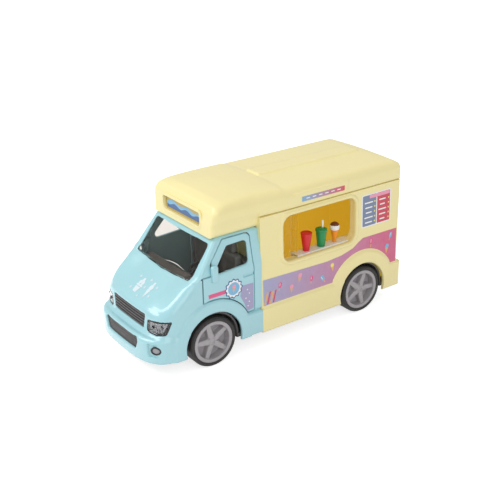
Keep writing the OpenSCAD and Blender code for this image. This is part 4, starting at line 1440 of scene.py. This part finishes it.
class VAN_OT_prints(bpy.types.Operator):
    """Makes the generic prints on the doors, the sides and the roof's edge"""
    bl_idname = "van.prints"
    bl_label = "Prints"

    def band(self, side, name):
        """The wide band low on a side wall, with treats strewn over it."""
        sheet = Print(name, side_surface(side))
        arch = arc((REAR_AXLE_Y, TYRE_R), FLARE_R + 0.9, 25, 156, 24)
        outline = [(-12.8, 35.4), (-12.8, 22), (30.2, 22)] + arch[::-1][1:-1] + [(68.8, 22), (73, 22),
                                                                                 (73, 40.8)]
        outline += [(49.9, 40.9), (47, 39.4), (43.2, 37), (36, 35.2), (26.2, 34.4)]
        keep = prism("x", outline)
        sheet.add(outline, "print_band")
        dice = random.Random(11)
        colours = ("print_white", "print_rose", "print_lemon", "print_sky")
        taken = [(-9.4, 26.0, 4.0)]
        for k in range(4):
            sheet.add([(-12.6 + 1.7 * k, 22.4), (-11.7 + 1.7 * k, 22.4), (-9.9 + 1.7 * k, 28.6),
                       (-10.8 + 1.7 * k, 28.6)], ("print_wafer", "print_brick")[k % 2], 2)
        motifs = 0
        for _ in range(4000):
            u, v = dice.uniform(-12, 72.5), dice.uniform(22.5, 40.4)
            size = dice.uniform(1.9, 3.0) if motifs < 18 else dice.uniform(0.22, 0.5)
            reach = size * 1.45 if motifs < 18 else size + 0.15
            if float(keep.at(0.0, np.float64(u), np.float64(v))) > -reach:
                continue
            if any((u - a) ** 2 + (v - b) ** 2 < (reach + r + 0.3) ** 2 for a, b, r in taken):
                continue
            taken.append((u, v, reach))
            if motifs < 18:
                tilt = dice.uniform(-35, 35)
                if dice.random() < 0.55:
                    cone_motif(sheet, u, v, size, tilt, dice.choice(colours))
                else:
                    lolly_motif(sheet, u, v, size, tilt,
                                dice.choice(("print_pink", "print_sky", "print_lemon")))
                motifs += 1
            else:
                sheet.add(tilted(plate(0, 0, size * 2.0, size * 0.9, size * 0.4), dice.uniform(0, 180), u,
                                 v),
                          dice.choice(colours), 2)
            if len(taken) > 140:
                break
        sheet.build("body", "box_shell", side < 0)

    def menu(self):
        """A price board without words: rows of bars in two columns."""
        sheet = Print("menu_print", side_surface(1))
        sheet.add(plate(58.55, 54.75, 19.7, 17.3, 0.8), "print_white")
        sheet.add(plate(53.9, 54.75, 9.0, 16.1, 0.4), "print_slate", 2)
        sheet.add(plate(63.4, 54.75, 8.7, 16.1, 0.4), "print_brick", 2)
        sheet.add(plate(60.6, 61.8, 13.6, 1.7, 0.3), "print_rose", 3)
        for row in range(5):
            v = 58.9 - row * 2.6
            for u, w in ((53.4, 5.6 - (row % 3) * 0.8), (62.6, 5.2 - (row + 1) % 3 * 0.9)):
                sheet.add(plate(u, v, w, 0.7, 0.2), "print_white", 3)
            sheet.add(disc(57.4, v, 0.45), "print_lemon", 3)
            sheet.add(disc(66.8, v, 0.45), "print_lemon", 3)
        sheet.build("body", "box_shell")

    def door(self, side, body):
        """The bar, the scalloped badge and the panel on a door."""
        sheet = Print(body + "_print", door_surface(side))
        sheet.add([(-43.4, 35.2), (-31, 35.2), (-31, 37.2), (-43.6, 37.2)], "print_pink")
        sheet.add([(-25.2, 36.6), (-18.7, 36.4), (-18.7, 23.4), (-22.4, 22.7), (-24.0, 27.0),
                   (-26.2, 31.5)],
                  "print_lavender")
        centre = (-29.8, 36.5)
        for r, deep, colour, layer in ((4.7, 0.35, "print_blue", 2), (4.1, 0.32, "print_white", 3)):
            sheet.add([(centre[0] + (r + deep * math.cos(12 * a)) * math.cos(a),
                        centre[1] + (r + deep * math.cos(12 * a)) * math.sin(a))
                       for a in np.linspace(0, 2 * math.pi, 121)[:-1]], colour, layer)
        sheet.add(disc(centre[0], centre[1], 3.2), "print_sky", 4)
        cone_motif(sheet, centre[0], centre[1] + 0.5, 1.7, -8, "print_rose", 5)
        for k in range(5):
            sheet.add(disc(-22.0 + 1.1 * math.sin(2.4 * k), 25.4 + 2.1 * k, 0.35), "print_white", 3)
        sheet.build(body, "cab_shell", side < 0)

    def bonnet(self):
        """A pale cone, a cup and some flakes in the middle of the bonnet."""
        sheet = Print("bonnet_print", bonnet_surface())
        for points in ([(4.2, 0.8), (6.6, 0.8), (5.4, -3.4)], disc(5.4, 2.0, 1.35, 14),
                       disc(5.4, 3.9, 0.8, 12),
                       plate(-2.6, 0.3, 4.6, 0.9, 0.3), [(-4.5, -0.4), (-0.7, -0.4), (-1.4, -3.0),
                                                         (-3.8, -3.0)],
                       disc(-3.6, 1.7, 1.0, 12), disc(-1.6, 1.7, 1.0, 12), disc(-2.6, 3.1, 0.9, 12)):
            sheet.add([(a + 0.4, b - 62.2) for a, b in points], "print_frost", 2)
        for a, b in ((-6.5, 3.6), (-6.9, -2.2), (1.6, 4.6), (1.5, -3.6), (8.6, 3.2), (8.3, -1.4),
                     (1.6, 0.6)):
            for turn in (0, 60, 120):
                sheet.add(tilted(plate(0, 0, 1.5, 0.3, 0.1), turn, a + 0.4, b - 62.2), "print_frost", 2)
        sheet.build("body", "cab_shell")

    def execute(self, context):
        self.bonnet()
        self.band(1, "left_band_print")
        self.band(-1, "right_band_print")
        self.menu()
        self.door(1, "left_door")
        self.door(-1, "right_door")
        fascia = Print("fascia_print", lambda u, v, lift: (TAB_X + lift, u, v))
        fascia.add(plate(23.5, 70.6, 26.4, 2.5, 0.3), "print_fascia")
        for k in range(6):
            fascia.add(plate(14.0 + 3.8 * k, 70.6, 2.2, 0.5, 0.2), "print_white", 2)
        fascia.build("body", "box_shell")
        return {"FINISHED"}


class VAN_PT_panel(bpy.types.Panel):
    """Lists the van's settings and the buttons that build it"""
    bl_idname = "VAN_PT_panel"
    bl_label = "Toy Ice Cream Van"
    bl_space_type = "VIEW_3D"
    bl_region_type = "UI"
    bl_category = "Van"

    def draw(self, context):
        layout = self.layout
        for group in (context.scene.van_sizes, context.scene.van_colours):
            for name in group.__annotations__:
                layout.prop(group, name)
        for operator in OPERATORS:
            layout.operator(operator.bl_idname)


OPERATORS = (VAN_OT_stage, VAN_OT_cab, VAN_OT_doors, VAN_OT_glass, VAN_OT_grilles, VAN_OT_cabin, VAN_OT_box,
             VAN_OT_roof, VAN_OT_serving, VAN_OT_wheels, VAN_OT_prints)
CLASSES = (VanColours, VanSizes) + OPERATORS + (VAN_PT_panel,)


def register():
    for item in CLASSES:
        bpy.utils.register_class(item)
    bpy.types.Scene.van_colours = bpy.props.PointerProperty(type=VanColours)
    bpy.types.Scene.van_sizes = bpy.props.PointerProperty(type=VanSizes)


def unregister():
    del bpy.types.Scene.van_sizes
    del bpy.types.Scene.van_colours
    for item in reversed(CLASSES):
        bpy.utils.unregister_class(item)


def main():
    register()
    for operator in OPERATORS:
        group, name = operator.bl_idname.split(".")
        getattr(getattr(bpy.ops, group), name)()


if __name__ == "__main__":
    main()
